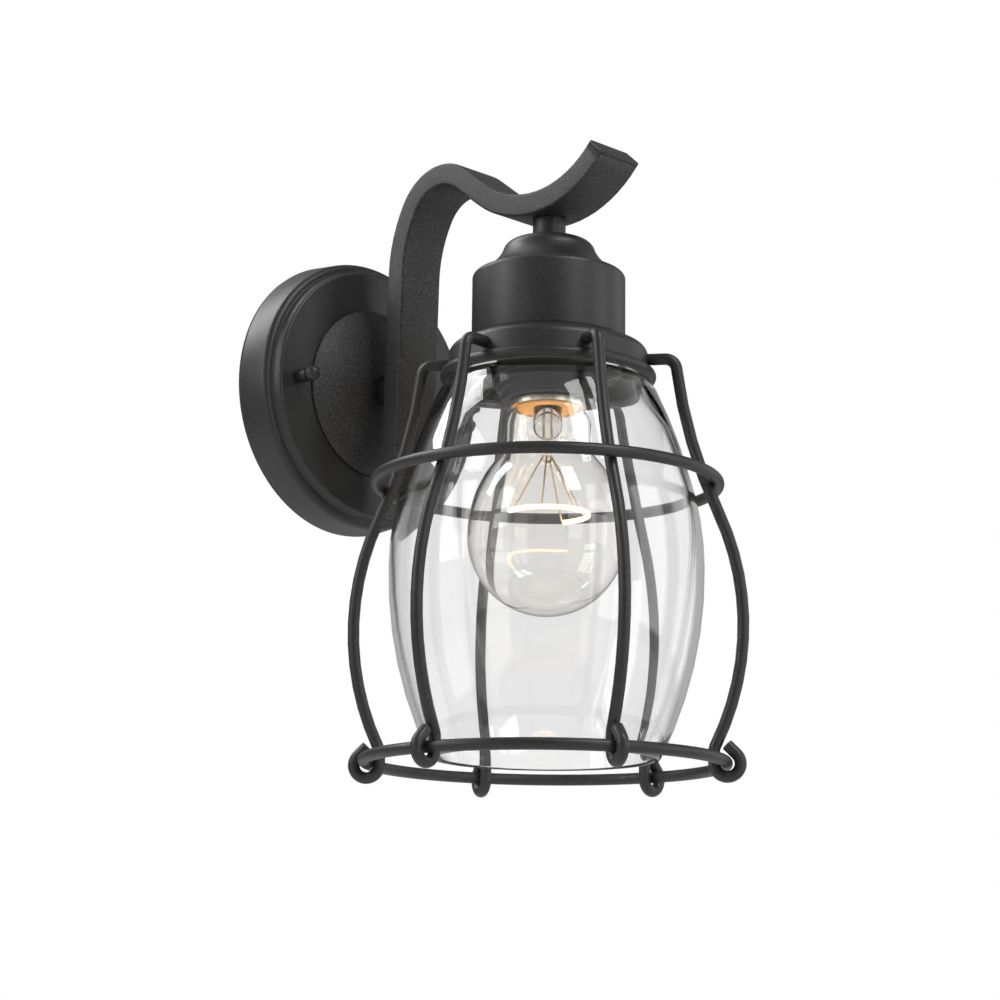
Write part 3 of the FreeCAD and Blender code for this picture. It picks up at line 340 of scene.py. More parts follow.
class Wire:
    """An output socket that can be used in sums."""

    def __init__(self, graph, socket):
        self.graph, self.socket = graph, socket

    def maths(self, operation, first, second):
        """Add a Math node."""
        return self.graph.node("ShaderNodeMath", {"operation": operation}, {0: first, 1: second})

    def __add__(self, other):
        return self.maths("ADD", self, other)

    def __radd__(self, other):
        return self.maths("ADD", other, self)

    def __sub__(self, other):
        return self.maths("SUBTRACT", self, other)

    def __rsub__(self, other):
        return self.maths("SUBTRACT", other, self)

    def __mul__(self, other):
        return self.maths("MULTIPLY", self, other)

    def __rmul__(self, other):
        return self.maths("MULTIPLY", other, self)

    def at_most(self, other):
        """The smaller of two."""
        return self.maths("MINIMUM", self, other)

    def at_least(self, other):
        """The larger of two."""
        return self.maths("MAXIMUM", self, other)

    def beside(self, name):
        """Another output of the same node."""
        return Wire(self.graph, self.socket.node.outputs[name])


class Graph:
    """The nodes of a material or of the world."""

    def __init__(self, owner):
        owner.use_nodes = True
        self.owner = owner
        self.tree = owner.node_tree
        self.tree.nodes.clear()

    def node(self, kind, settings=None, inputs=None, out=0):
        """Add a node, set it up, feed its sockets with values or wires, and give an output."""
        made = self.tree.nodes.new(kind)
        for key, value in (settings or {}).items():
            setattr(made, key, value)
        for key, value in (inputs or {}).items():
            if isinstance(value, Wire):
                self.tree.links.new(value.socket, made.inputs[key])
            else:
                made.inputs[key].default_value = value
        return Wire(self, made.outputs[out]) if made.outputs else None

    def place(self):
        """Where a point of the surface is, in metres."""
        return self.node("ShaderNodeTexCoord", out="Object")

    def noise(self, scale, detail=2.0, roughness=0.5):
        """Soft random pattern, about 1 over scale metres across."""
        return self.node(
            "ShaderNodeTexNoise", None,
            {"Vector": self.place(), "Scale": scale, "Detail": detail, "Roughness": roughness},
        )

    def range(self, value, low, high, to_low, to_high):
        """Carry one range of numbers into another, held at its ends."""
        return self.node(
            "ShaderNodeMapRange", {"clamp": True},
            {"Value": value, "From Min": low, "From Max": high, "To Min": to_low, "To Max": to_high},
        )

    def blend(self, factor, first, second):
        """Mix two colours, which are sockets 6 and 7 of the node, with their mixture at output 2."""
        return self.node("ShaderNodeMix", {"data_type": "RGBA"}, {0: factor, 6: first, 7: second}, 2)

    def bump(self, height, depth, strength):
        """Surface relief, with its depth in millimetres."""
        return self.node(
            "ShaderNodeBump", None, {"Height": height, "Distance": depth * MM, "Strength": strength}
        )

    def shader(self, **inputs):
        """The main shader. Underscores stand for spaces."""
        sockets = {key.replace("_", " "): value for key, value in inputs.items()}
        return self.node("ShaderNodeBsdfPrincipled", None, sockets)

    def surface(self, shader):
        """Show a shader, and give the finished material."""
        self.node("ShaderNodeOutputMaterial", None, {"Surface": shader})
        return self.owner


def rgba(shade, share=1.0):
    """A colour with alpha, made darker or lighter by a share."""
    return (*(min(part * share, 1.0) for part in shade), 1.0)


def satin_coat():
    """Smooth black powder coat with a fine orange peel."""
    graph = Graph(bpy.data.materials.new("satin_coat"))
    peel = graph.noise(1300, 3, 0.6)
    cloud = graph.noise(60)
    shade = graph.blend(cloud, rgba(shades().coat, 0.9), rgba(shades().coat, 1.15))
    return graph.surface(graph.shader(
        Base_Color=graph.blend(graph.range(peel, 0.52, 0.72, 0.0, 0.6), shade, rgba(shades().grain)),
        Roughness=graph.range(peel + cloud * 0.4, 0.4, 0.9, 0.36, 0.46),
        Normal=graph.bump(peel, 0.03, 0.6),
    ))


def grain_coat():
    """Black powder coat with a fine sandy grain."""
    graph = Graph(bpy.data.materials.new("grain_coat"))
    grain = graph.noise(2000, 3, 0.7)
    speck = graph.range(grain, 0.52, 0.68, 0.0, 1.0)
    return graph.surface(graph.shader(
        Base_Color=graph.blend(speck, rgba(shades().coat, 0.8), rgba(shades().grain, 2.2)),
        Roughness=graph.range(grain, 0.3, 0.7, 0.56, 0.4),
        Normal=graph.bump(grain, 0.16, 1.0),
    ))


def metal(name, shade, rough, grain=400):
    """Bare or plated metal with a little unevenness."""
    graph = Graph(bpy.data.materials.new(name))
    uneven = graph.noise(grain, 3)
    return graph.surface(graph.shader(
        Base_Color=graph.blend(uneven, rgba(shade, 0.85), rgba(shade, 1.1)),
        Roughness=graph.range(uneven, 0.3, 0.7, rough * 0.8, rough * 1.25),
        Normal=graph.bump(uneven, 0.02, 0.3),
        Metallic=1.0,
    ))


def moulded(name, shade, rough, relief=0.02, grain=1200):
    """Plastic, rubber, foam or cement."""
    graph = Graph(bpy.data.materials.new(name))
    uneven = graph.noise(grain, 3)
    return graph.surface(graph.shader(
        Base_Color=graph.blend(uneven, rgba(shade, 0.8), rgba(shade, 1.3)),
        Roughness=graph.range(uneven, 0.3, 0.7, rough * 0.9, min(rough * 1.15, 1.0)),
        Normal=graph.bump(uneven, relief, 0.5),
    ))


def clear(name, shade, waves):
    """Clear glass, with the faint waves of blown glass."""
    graph = Graph(bpy.data.materials.new(name))
    return graph.surface(graph.shader(
        Base_Color=rgba(shade),
        Roughness=0.0,
        Transmission_Weight=1.0,
        IOR=1.48,
        Normal=graph.bump(graph.noise(28, 1), waves, 0.6),
    ))


def lit_wire():
    """The filament, lit."""
    graph = Graph(bpy.data.materials.new("lit_wire"))
    glow = rgba(shades().glow)
    return graph.surface(graph.shader(
        Base_Color=glow, Roughness=0.5, Emission_Color=glow, Emission_Strength=4.0,
    ))


FINISHES = {}
FINISH_MAKERS = {
    "black_satin": satin_coat,
    "black_cast": grain_coat,
    "zinc_steel": lambda: metal("zinc_steel", (0.62, 0.63, 0.62), 0.34, 1800),
    "brass": lambda: metal("brass", shades().brass, 0.25),
    "bulb_metal": lambda: metal("bulb_metal", (0.70, 0.65, 0.56), 0.3),
    "fine_wire": lambda: metal("fine_wire", (0.74, 0.6, 0.42), 0.3),
    "green_screw": lambda: metal("green_screw", (0.08, 0.35, 0.12), 0.35),
    "cement": lambda: moulded("cement", (0.74, 0.45, 0.19), 0.55, 0.1, 900),
    "foam": lambda: moulded("foam", (0.035, 0.035, 0.035), 0.9, 0.15, 1500),
    "rubber_washer": lambda: moulded("rubber_washer", (0.03, 0.03, 0.03), 0.7),
    "black_plastic": lambda: moulded("black_plastic", (0.012, 0.012, 0.012), 0.4),
    "black_glass": lambda: moulded("black_glass", (0.01, 0.01, 0.012), 0.12),
    "clear_glass": lambda: clear("clear_glass", shades().glass, 0.05),
    # The bulb glass's faint warm tint is painted glow: it stands in for the warm light of the lit
    # filament inside the globe.
    "bulb_glass": lambda: clear("bulb_glass", (0.995, 0.985, 0.965), 0.0),
    "lit_wire": lit_wire,
}


def finish(name):
    """A finish by name, made when it is first used."""
    if name not in FINISHES:
        FINISHES[name] = FINISH_MAKERS[name]()
    return FINISHES[name]


# Pieces.


class SconceOperator(bpy.types.Operator):
    """Shared by the operators of this file."""

    bl_options = {"REGISTER", "UNDO"}


class SCONCE_OT_back_plate(SconceOperator):
    """Back plate with its round shoulder, ledge and raised face"""

    bl_idname = "sconce.back_plate"
    bl_label = "Back plate"

    def execute(self, context):
        sizes = context.scene.sconce_sizes
        rim, face = sizes.plate_radius / MM, sizes.plate_depth / MM
        foot, ledge, shoulder, edge = 1.0, face - 4.0, 2.6, 1.2
        profile = [
            (rim - SHEET, foot),
            (rim, foot),
            (rim - 1.1, ledge - shoulder, shoulder, 1),
            (rim - 3.7, ledge),
            (rim - 4.6, ledge),
            (rim - 5.4, face - edge, edge, 1),
            (rim - 6.6, face),
            (BORE, face),
            (BORE, face - SHEET),
            (rim - 6.6, face - SHEET),
            (rim - 5.8, ledge - SHEET),
            (rim - 3.7, ledge - SHEET, shoulder - SHEET, -1),
            (rim - 1.1 - SHEET, ledge - shoulder),
        ]
        piece("plate_pan", turned(profile, 0.45), "black_satin", ["back_plate"], wall_place())
        return {"FINISHED"}


class SCONCE_OT_dome(SconceOperator):
    """Dome casting under the arm and the spacer on it"""

    bl_idname = "sconce.dome"
    bl_label = "Dome"

    def execute(self, context):
        sizes = context.scene.sconce_sizes
        face, radius, rise = (
            size / MM for size in (sizes.plate_depth, sizes.dome_radius, sizes.dome_rise)
        )
        rim = 0.8
        ball = (radius**2 + rise**2) / (2 * rise)
        crown = face + rim + rise - ball + math.sqrt(ball**2 - TUBE**2)
        dome = [
            (BORE, face),
            (TUBE, face),
            (TUBE, face + 4.9),
            (radius - 3, face),
            (radius, face),
            (radius, face + rim, ball, 1),
            (TUBE, crown),
            (BORE, crown),
        ]
        piece("dome_casting", turned(dome, 0.35), "black_cast", ["arm_base_dome"], wall_place())
        arm = -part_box("arm_collar")[0].y / MM
        collar = [(BORE, crown), (TUBE, crown), (TUBE, arm), (BORE, arm)]
        piece("arm_spacer", turned(collar, 0.25), "black_satin", ["arm_collar"], wall_place())
        return {"FINISHED"}


# The arm's foot, in millimetres out from the wall and up, and its way from there to its tip.
ARM_FOOT = (38.584, -44.0)
ARM_LEAN = 1.5
ARM_STEPS = [
    (89.4,),
    (52.5, 29.3, 1),
    (19.3, 96.7, 1),
    (16.35,),
    (43.5, 84.9, -1),
]
ARM_CAP = 1.6


class SCONCE_OT_arm(SconceOperator):
    """Bent arm tube and the plates that close its ends"""

    bl_idname = "sconce.arm"
    bl_label = "Arm"

    def start(self, sizes, spot, heading):
        """A sweep of the arm's section from a spot."""
        wide, deep, rounding = (
            size / MM for size in (sizes.arm_width, sizes.arm_depth, sizes.arm_round)
        )
        turn = math.atan2(-heading.y, heading.z)
        place = Matrix.Translation(spot) @ Matrix.Rotation(turn, 4, "X")
        bm = bmesh.new()
        return Sweep(bm, box_section(bm, wide, deep, rounding, place), spot, heading, (1, 0, 0))

    def execute(self, context):
        sizes = context.scene.sconce_sizes
        lean = math.radians(ARM_LEAN)
        foot = Vector((0, -ARM_FOOT[0] * MM, ARM_FOOT[1] * MM))
        heading = Vector((0, -math.sin(lean), math.cos(lean)))
        tube = self.start(sizes, foot, heading).follow(ARM_STEPS)
        piece("bent_arm", tube.close(), "black_cast", ["arm"])
        for name, node, spot, ahead in (
            ("arm_foot_plate", "arm_foot_cap", foot, -heading),
            ("arm_tip_plate", "arm_tip_cap", tube.spot, tube.heading),
        ):
            cap = self.start(sizes, spot, ahead)
            cap.run(ARM_CAP)
            bm = cap.close()
            soften(
                bm, 0.5,
                lambda edge: all((vert.co - cap.spot).dot(ahead) > -MERGE for vert in edge.verts),
            )
            piece(name, bm, "black_cast", [node])
        return {"FINISHED"}


class SCONCE_OT_cap_nuts(SconceOperator):
    """Ball-ended cap nuts on the plate"""

    bl_idname = "sconce.cap_nuts"
    bl_label = "Cap nuts"

    def execute(self, context):
        sizes = context.scene.sconce_sizes
        foot = sizes.plate_depth / MM + 0.2
        stud, stud_end = 1.8, foot + 7.2
        neck = foot + 4.0
        waist, waist_radius, ball = neck + 1.2, 2.4, 3.2
        centre = waist + math.sqrt(ball**2 - waist_radius**2)
        profile = [
            (stud, foot),
            (2.8, foot),
            (2.8, neck),
            (waist_radius, waist, ball, 1),
            (ball, centre, ball, 1),
            (0.0, centre + ball),
            (0.0, stud_end),
            (stud, stud_end),
        ]
        half = sizes.nut_spread / MM / 2
        for side, x in (("left", -half), ("right", half)):
            node = "cap_nut_" + side
            nut = turned(profile, 0.25, SMALL_STEPS)
            piece("ball_nut_" + side, nut, "black_satin", [node], wall_place(x), node)
        return {"FINISHED"}


class SCONCE_OT_cup(SconceOperator):
    """Spun cup over the lamp holder, and the sleeve between it and the arm"""

    bl_idname = "sconce.cup"
    bl_label = "Cup"

    def execute(self, context):
        sizes = context.scene.sconce_sizes
        side, top = sizes.cup_radius / MM, sizes.cup_top / MM
        foot, shoulder, hollow, crown = 4.7, 2.2, 17.0, 5.2
        profile = [
            (side - SHEET, foot),
            (side, foot),
            (side, top - 15.0, shoulder, 1),
            (side - 1.6, top - 13.0, hollow, -1),
            (17.7, top - 4.0, crown, 1),
            (13.5, top),
            (BORE, top),
            (BORE, top - SHEET),
            (13.5 - SHEET, top - SHEET, crown, -1),
            (17.7 - SHEET, top - 4.0 - SHEET, hollow, 1),
            (side - 1.6 - SHEET, top - 13.0 - SHEET, shoulder, -1),
            (side - SHEET, top - 15.0 - SHEET),
        ]
        piece("spun_cup", turned(profile, 0.25), "black_satin", ["socket_cup"], lamp_place())
        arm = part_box("stem_sleeve")[1].z / MM
        sleeve = turned([(BORE, top), (TUBE, top), (TUBE, arm), (BORE, arm)], 0.2, SMALL_STEPS)
        piece("stem_tube", sleeve, "black_satin", ["stem_sleeve"], lamp_place())
        return {"FINISHED"}


class SCONCE_OT_fitter(SconceOperator):
    """Fitter band with its rolled bead"""

    bl_idname = "sconce.fitter"
    bl_label = "Fitter"

    def execute(self, context):
        side = context.scene.sconce_sizes.band_radius / MM
        hole, crown, shoulder = 19.5, 4.7, -1.1
        bead, bead_middle, out = 2.2, -9.4, 0.9
        profile = [
            (hole, crown - SHEET),
            (side - 9.8, crown - SHEET),
            (side - 4.7, 1.2, 3.0, -1),
            (side - SHEET, shoulder),
            (side - SHEET, bead_middle),
            (side + out - bead, bead_middle, bead, 1),
            (side + out, bead_middle - bead, bead, 1),
            (side + out + bead, bead_middle, bead, 1),
            (side, bead_middle + math.sqrt(bead**2 - out**2)),
            (side, shoulder, 4.2, 1),
            (side - 3.5, 2.4),
            (side - 8.6, crown),
            (hole, crown),
        ]
        piece("fitter_bell", turned(profile, 0.2), "black_satin", ["fitter_band"], lamp_place())
        return {"FINISHED"}


# Where a cage wire starts beside the lamp's axis, in millimetres, and its way to its hook's end.
CAGE_WIRES = 6
CAGE_TURN = 5.1
WIRE_START = (36.3, -3.5)
WIRE_STEPS = [
    (8.1,),
    (4.4, 83.0, -1),
    (194.0, 17.1, 1),
    (101.3, 50.3, -1),
    (5.6, 26.2, 1),
    (4.2,),
    (4.8, 225.0, 1),
    (5.0,),
]


class SCONCE_OT_cage(SconceOperator):
    """Six hooked wires and the two rings of the cage"""

    bl_idname = "sconce.cage"
    bl_label = "Cage"

    def execute(self, context):
        radius = context.scene.sconce_sizes.wire / MM / 2
        spot = Vector((WIRE_START[0], 0, WIRE_START[1])) * MM
        start = Matrix.Translation(spot) @ Matrix.Rotation(QUARTER, 4, "Y")
        for index in range(CAGE_WIRES):
            bm = bmesh.new()
            wire = Sweep(bm, round_section(bm, radius, start), spot, (1, 0, 0), (0, -1, 0))
            turn = math.radians(CAGE_TURN + (index + 0.5) * 360 / CAGE_WIRES - 90)
            piece(
                "hooked_wire_%d" % (index + 1), wire.follow(WIRE_STEPS).close(0.3), "black_satin",
                ["cage_wire_%d" % (index + 1)], lamp_place(turn),
            )
        for name, node in (("middle_hoop", "cage_middle_ring"), ("bottom_hoop", "cage_bottom_ring")):
            low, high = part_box(node)
            spot = Vector(((high.x - low.x) / 2 - radius * MM, 0, (low.z + high.z) / 2))
            bm = bmesh.new()
            round_section(bm, radius, Matrix.Translation(spot) @ Matrix.Rotation(QUARTER, 4, "X"))
            spin_round(bm)
            piece(name, bm, "black_satin", [node], lamp_place())
        return {"FINISHED"}


class SCONCE_OT_holder(SconceOperator):
    """Lamp holder, its ring under the glass and the washer over the glass"""

    bl_idname = "sconce.holder"
    bl_label = "Lamp holder"

    def execute(self, context):
        hollow, roof, crown, flange = 13.75, 10.95, 27.7, 4.7
        holder = [
            (hollow, -17.4),
            (17.8, -17.4),
            (17.8, -13.9),
            (19.2, -13.9),
            (19.2, flange),
            (23.5, flange),
            (23.5, flange + 2.2),
            (18.0, flange + 2.2),
            (18.0, crown - 3.0),
            (15.0, crown),
            (3.3, crown),
            (3.3, roof),
            (hollow, roof),
        ]
        piece("holder_moulding", turned(holder), "black_plastic", ["holder_body"], lamp_place())
        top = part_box("shade_ring")[1].z / MM
        ring = [
            (19.3, top - 11.1),
            (20.6, top - 11.1),
            (20.6, top - 8.9),
            (22.3, top - 8.9),
            (22.3, top - 2.6),
            (25.0, top - 2.6),
            (25.0, top),
            (19.3, top),
        ]
        piece(
            "ring_nut", turned(ring, 0.35), "black_plastic", ["shade_ring"], lamp_place(), "shade_ring"
        )
        washer = turned([(20.5, 2.1), (25.0, 2.1), (25.0, 3.5), (20.5, 3.5)], 0.4)
        piece("glass_washer", washer, "rubber_washer", ["shade_washer"], lamp_place())
        return {"FINISHED"}


class SCONCE_OT_glass(SconceOperator):
    """Clear glass shade, open below"""

    bl_idname = "sconce.glass"
    bl_label = "Glass shade"

    def execute(self, context):
        wall = context.scene.sconce_sizes.glass_wall / MM
        hole, neck, mouth = 20.5, 35.6, 42.2
        top, foot = 2.1, -154.1
        bend, flare = 7.0, 3.6
        upper, belly, lower = 190.0, 108.0, 155.0
        profile = [
            (hole, top),
            (hole, top - wall),
            (neck - bend, top - wall, bend - wall, -1),
            (neck - wall, top - bend),
            (neck - wall, -8.6, flare + wall, 1),
            (36.95 - wall, -11.2 - wall),
            (41.1 - wall, -15.5 - wall, upper, -1),
            (53.2 - wall, -48.0, belly, -1),
            (58.8 - wall, -83.0, lower, -1),
            (mouth - wall, foot),
            (mouth, foot, lower, 1),
            (58.8, -83.0, belly, 1),
            (53.2, -48.0, upper, 1),
            (41.1, -15.5, 24.0, 1),
            (36.95, -11.2, flare, -1),
            (neck, -8.6),
            (neck, top - bend, bend, 1),
            (neck - bend, top),
        ]
        bell = turned(profile, 0.9, GLASS_STEPS)
        piece("glass_bell", bell, "clear_glass", ["glass_shade"], lamp_place())
        return {"FINISHED"}


# The thread of the bulb's base, in millimetres, turns, and steps in a turn.
THREAD_PITCH = 3.6
THREAD_TURNS = 3.6
THREAD_STEPS = 72

# The filament: a coil of fine wire along a level bow around the bulb's axis.
BOW_HEIGHT = -62.5
BOW_RADIUS = 15.5
BOW_SPAN = math.radians(220)
COIL_RADIUS = 0.7
COIL_WIRE = 0.17
COIL_TURNS = 90
COIL_STEPS = 900


class SCONCE_OT_bulb(SconceOperator):
    """Clear bulb with its screw base, mount and lit filament"""

    bl_idname = "sconce.bulb"
    bl_label = "Bulb"

    def execute(self, context):
        self.envelope(context.scene.sconce_sizes.bulb_radius / MM)
        self.screw_base()
        self.mount()
        self.filament()
        return {"FINISHED"}

    def add(self, name, bm, slot, nodes=(), look=None, turn=0.0):
        """A piece that turns with the bulb."""
        piece(name, bm, slot, nodes, lamp_place(turn), "bulb", look)

    def envelope(self, radius):
        """The pear-shaped glass."""
        bottom, wall = -100.6, 0.6
        flank, throat, lip = 45.0, 12.5, 8.0
        centre = bottom + radius
        turn = math.radians(40)
        shoulder_x = radius - flank * (1 - math.cos(turn))
        shoulder_z = centre + flank * math.sin(turn)
        neck_x = shoulder_x - throat * (1 - math.cos(turn))
        neck_z = shoulder_z + throat * math.sin(turn)
        throat_top = neck_z + 5
        seat_x, seat_z, top = 12.55, -21.0, -18.5
        profile = [
            (0.0, bottom, radius, 1),
            (radius, centre, flank, 1),
            (shoulder_x, shoulder_z, throat, -1),
            (neck_x, neck_z),
            (neck_x, throat_top, lip, 1),
            (seat_x, seat_z),
            (seat_x, top),
            (seat_x - wall, top),
            (seat_x - wall, seat_z, lip, -1),
            (neck_x - wall, throat_top),
            (neck_x - wall, neck_z, throat + wall, 1),
            (shoulder_x - wall * math.cos(turn), shoulder_z - wall * math.sin(turn), flank - wall, -1),
            (radius - wall, centre, radius - wall, -1),
            (0.0, bottom + wall),
        ]
        self.add("bulb_envelope", turned(profile, 0.2), "bulb_glass", ["bulb_glass"])

    def screw_base(self):
        """Metal base with a rolled thread, the glass insulator and the contact."""
        crest, root = 13.1, 12.35
        skirt = [
            (13.65, -20.6),
            (14.15, -20.6),
            (14.15, -17.9),
            (crest, -17.6),
            (crest, -15.4),
            (root, -14.6),
            (root, 1.4),
            (12.1, 2.6),
            (8.5, 4.0),
            (8.0, 3.5),
            (11.7, 2.1),
            (11.85, -14.4),
            (12.6, -15.4),
            (12.6, -17.8),
            (13.65, -18.5),
        ]
        bm = turned(skirt, 0.12)
        ridge = [(root - 0.1, -14.8), (root, -14.5, 1.3, 1), (crest, -13.0, 1.1, 1), (root, -11.5)]
        thread = outline(ridge, False)
        bmesh.ops.spin(
            thread, geom=thread.verts[:] + thread.edges[:], cent=ORIGIN, axis=(0, 0, 1),
            angle=TAU * THREAD_TURNS, dvec=Vector((0, 0, THREAD_PITCH * MM / THREAD_STEPS)),
            steps=int(THREAD_STEPS * THREAD_TURNS), use_merge=False,
        )
        tidy(thread)
        add_mesh(bm, thread)
        self.add("screw_base", bm, "bulb_metal", ["bulb_base"])
        insulator = [(0.0, 4.0), (8.5, 4.0), (4.8, 7.4), (0.0, 7.4)]
        self.add("base_glass", turned(insulator, 0.4, SMALL_STEPS), "black_glass", ["bulb_insulator"])
        tip = [(0.0, 7.4), (4.8, 7.4), (3.6, 8.6), (0.0, 8.6)]
        self.add("base_tip", turned(tip, 0.4, SMALL_STEPS), "bulb_metal", ["bulb_contact"])

    def mount(self):
        """Glass tube and rod with the two lead wires, and the amber disc above them."""
        inner, outer, foot = 5.1, 5.5, -28.0
        tube = [
            (inner, -20.9),
            (outer, -20.9),
            (outer, foot, outer, -1),
            (0.0, foot - outer),
            (0.0, foot - inner, inner, 1),
            (inner, foot),
        ]
        rod = [
            (0.0, -33.7),
            (1.7, -34.2),
            (1.7, -35.6),
            (1.0, -36.6),
            (1.0, -39.2),
            (1.9, -40.2),
            (1.9, -41.8),
            (0.0, -43.0),
        ]
        bm = turned(tube, 0.0, SMALL_STEPS)
        add_mesh(bm, turned(rod, 0.5, 48))
        self.add("glass_mount", bm, "bulb_glass", ["bulb_mount"])
        leads = bmesh.new()
        for aside in (-1.5, 1.5):
            lead = turned([(0.0, -32.9), (0.45, -32.9), (0.45, -20.8), (0.0, -20.8)], 0.0, 16)
            bmesh.ops.translate(lead, verts=lead.verts[:], vec=(aside * MM, 0, 0))
            add_mesh(leads, lead)
        self.add("lead_wires", leads, "fine_wire", turn=math.radians(-45))
        bm = turned([(0.0, -20.7), (11.75, -20.7), (11.75, -19.2), (0.0, -19.2)], 0.3, 96)
        add_mesh(bm, turned([(12.65, -20.3), (13.6, -20.3), (13.6, -18.9), (12.65, -18.9)], 0.2, 96))
        self.add("amber_disc", bm, "amber_cement", ["bulb_cement"], "cement")

    def coil_spot(self, share):
        """A point of the filament, at a share of its length."""
        angle = BOW_SPAN * (share - 0.5) - QUARTER
        twist = TAU * COIL_TURNS * share
        reach = BOW_RADIUS + COIL_RADIUS * math.cos(twist)
        height = BOW_HEIGHT + COIL_RADIUS * math.sin(twist)
        return Vector((math.cos(angle) * reach, math.sin(angle) * reach, height)) * MM

    def filament(self):
        """The coil's route, drawn as one chain of edges and given its thickness by a skin."""
        bm = bmesh.new()
        tip = bmesh.ops.create_vert(bm, co=self.coil_spot(0.0))["vert"][0]
        for index in range(1, COIL_STEPS + 1):
            tip = draw_on(bm, tip, self.coil_spot(index / COIL_STEPS))
        route = add_object("coil_route", into_mesh(bm, "coil_route"))
        skin = route.modifiers.new("thick", "SKIN")
        skin.use_smooth_shade = True
        ends = route.data.skin_vertices[0].data
        for end in ends:
            end.radius = (COIL_WIRE * MM, COIL_WIRE * MM)
        ends[0].use_root = True
        bm = bmesh.new()
        bm.from_mesh(route.evaluated_get(bpy.context.evaluated_depsgraph_get()).to_mesh())
        bpy.data.objects.remove(route)
        self.add("filament_coil", bm, "fine_wire", ["filament"], "lit_wire")


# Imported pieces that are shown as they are, and their finishes.
KEPT_NODES = {
    "mounting_strap": "zinc_steel",
    "canopy_studs": "zinc_steel",
    "ground_screw": "green_screw",
    "wall_gasket": "foam",
    "arm_washer": "zinc_steel",
    "arm_locknut": "zinc_steel",
    "arm_nipple": "zinc_steel",
    "stem_washer": "zinc_steel",
    "stem_locknut": "zinc_steel",
    "stem_nipple": "zinc_steel",
    "holder_hub": "zinc_steel",
    "holder_screw_shell": "brass",
    "holder_contact": "brass",
    "filament_supports": "fine_wire",
}


class SCONCE_OT_kept_pieces(SconceOperator):
    """Finishes of the strap, studs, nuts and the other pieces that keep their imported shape"""

    bl_idname = "sconce.kept_pieces"
    bl_label = "Strap, nuts and supports"

    def execute(self, context):
        for node, look in KEPT_NODES.items():
            materials = NODES[node].data.materials
            materials.clear()
            materials.append(finish(look))
        return {"FINISHED"}


# Stage.

# The photograph's camera in degrees and millimetres. It stands aside from a line to the origin.
CAMERA_AZIMUTH = -45.550
CAMERA_ELEVATION = -11.681
CAMERA_ROLL = 0.697
CAMERA_DISTANCE = 1033.51
CAMERA_ASIDE = (64.413, -40.103)
CAMERA_LENS = 90.56
CAMERA_SENSOR = 36.0
FARTHEST_SEEN = 50

# Strength of the world as light, and the shares of the white background in glass and floor.
PLAIN_LIGHT = 0.25
GLASS_SHEEN = 0.3
FLOOR_GLOW = 0.78
FLOOR_HEIGHT = -0.32
FLOOR_HALF = 8.0

# Softboxes: name, azimuth and elevation in degrees, width and height in metres, power in watts.
LIGHT_MIDDLE = Vector((0, -0.09, 0))
LIGHT_DISTANCE = 1.2
LIGHTS = [
    ("left", -116, 22, (0.5, 0.8), 4.6),
    ("top", 0, 50, (0.5, 0.5), 6.0),
    ("rim", -160, 42, (0.4, 0.6), 6.0),
    ("back_top", -175, 60, (0.5, 0.5), 1.2),
    ("right", 35, 8, (0.55, 0.8), 2.6),
    ("front", -5, 8, (0.45, 0.9), 2.5),
    ("far_right", 75, 8, (0.55, 0.8), 1.2),
    ("far_left", -85, 8, (0.55, 0.8), 1.0),
]

# The filament's light: power in watts, size in metres, height below the origin in metres.
WARMTH_POWER = 0.08
WARMTH_SIZE = 0.008
WARMTH_COLOUR = (1.0, 0.74, 0.42)
WARMTH_HEIGHT = -0.058

WHITE = (1, 1, 1, 1)


def direction(azimuth, elevation):
    """From the lamp towards an azimuth, which is 0 in front, and an elevation, in degrees."""
    turn, lift = math.radians(azimuth), math.radians(elevation)
    return Vector((math.sin(turn) * math.cos(lift), -math.cos(turn) * math.cos(lift), math.sin(lift)))


def camera_axes():
    """Right, up and forward of the photograph's camera."""
    roll = math.radians(CAMERA_ROLL)
    ahead = -direction(CAMERA_AZIMUTH, CAMERA_ELEVATION)
    right = ahead.cross(Vector((0, 0, 1))).normalized()
    up = right.cross(ahead)
    return (
        right * math.cos(roll) + up * math.sin(roll),
        up * math.cos(roll) - right * math.sin(roll),
        ahead,
    )


def soft_light(name, azimuth, elevation, size, power):
    """A softbox that faces the lamp."""
    data = bpy.data.lights.new(name, "AREA")
    data.shape = "RECTANGLE"
    data.size, data.size_y = size
    data.energy = power
    out = direction(azimuth, elevation)
    lamp = add_object(name, data)
    lamp.location = LIGHT_MIDDLE + out * LIGHT_DISTANCE
    lamp.rotation_euler = (-out).to_track_quat("-Z", "Y").to_euler()


def straight_view(graph):
    """1 for rays from the camera, also through glass, and a share for what glass mirrors."""
    ray = graph.node("ShaderNodeLightPath").beside
    scattered = (ray("Diffuse Depth") + ray("Glossy Depth")).at_most(1.0)
    through = ray("Is Transmission Ray") * (1.0 - scattered)
    mirrored = ray("Is Glossy Ray") * ray("Is Singular Ray") * GLASS_SHEEN
    return ray("Is Camera Ray").at_least(through.at_least(mirrored))


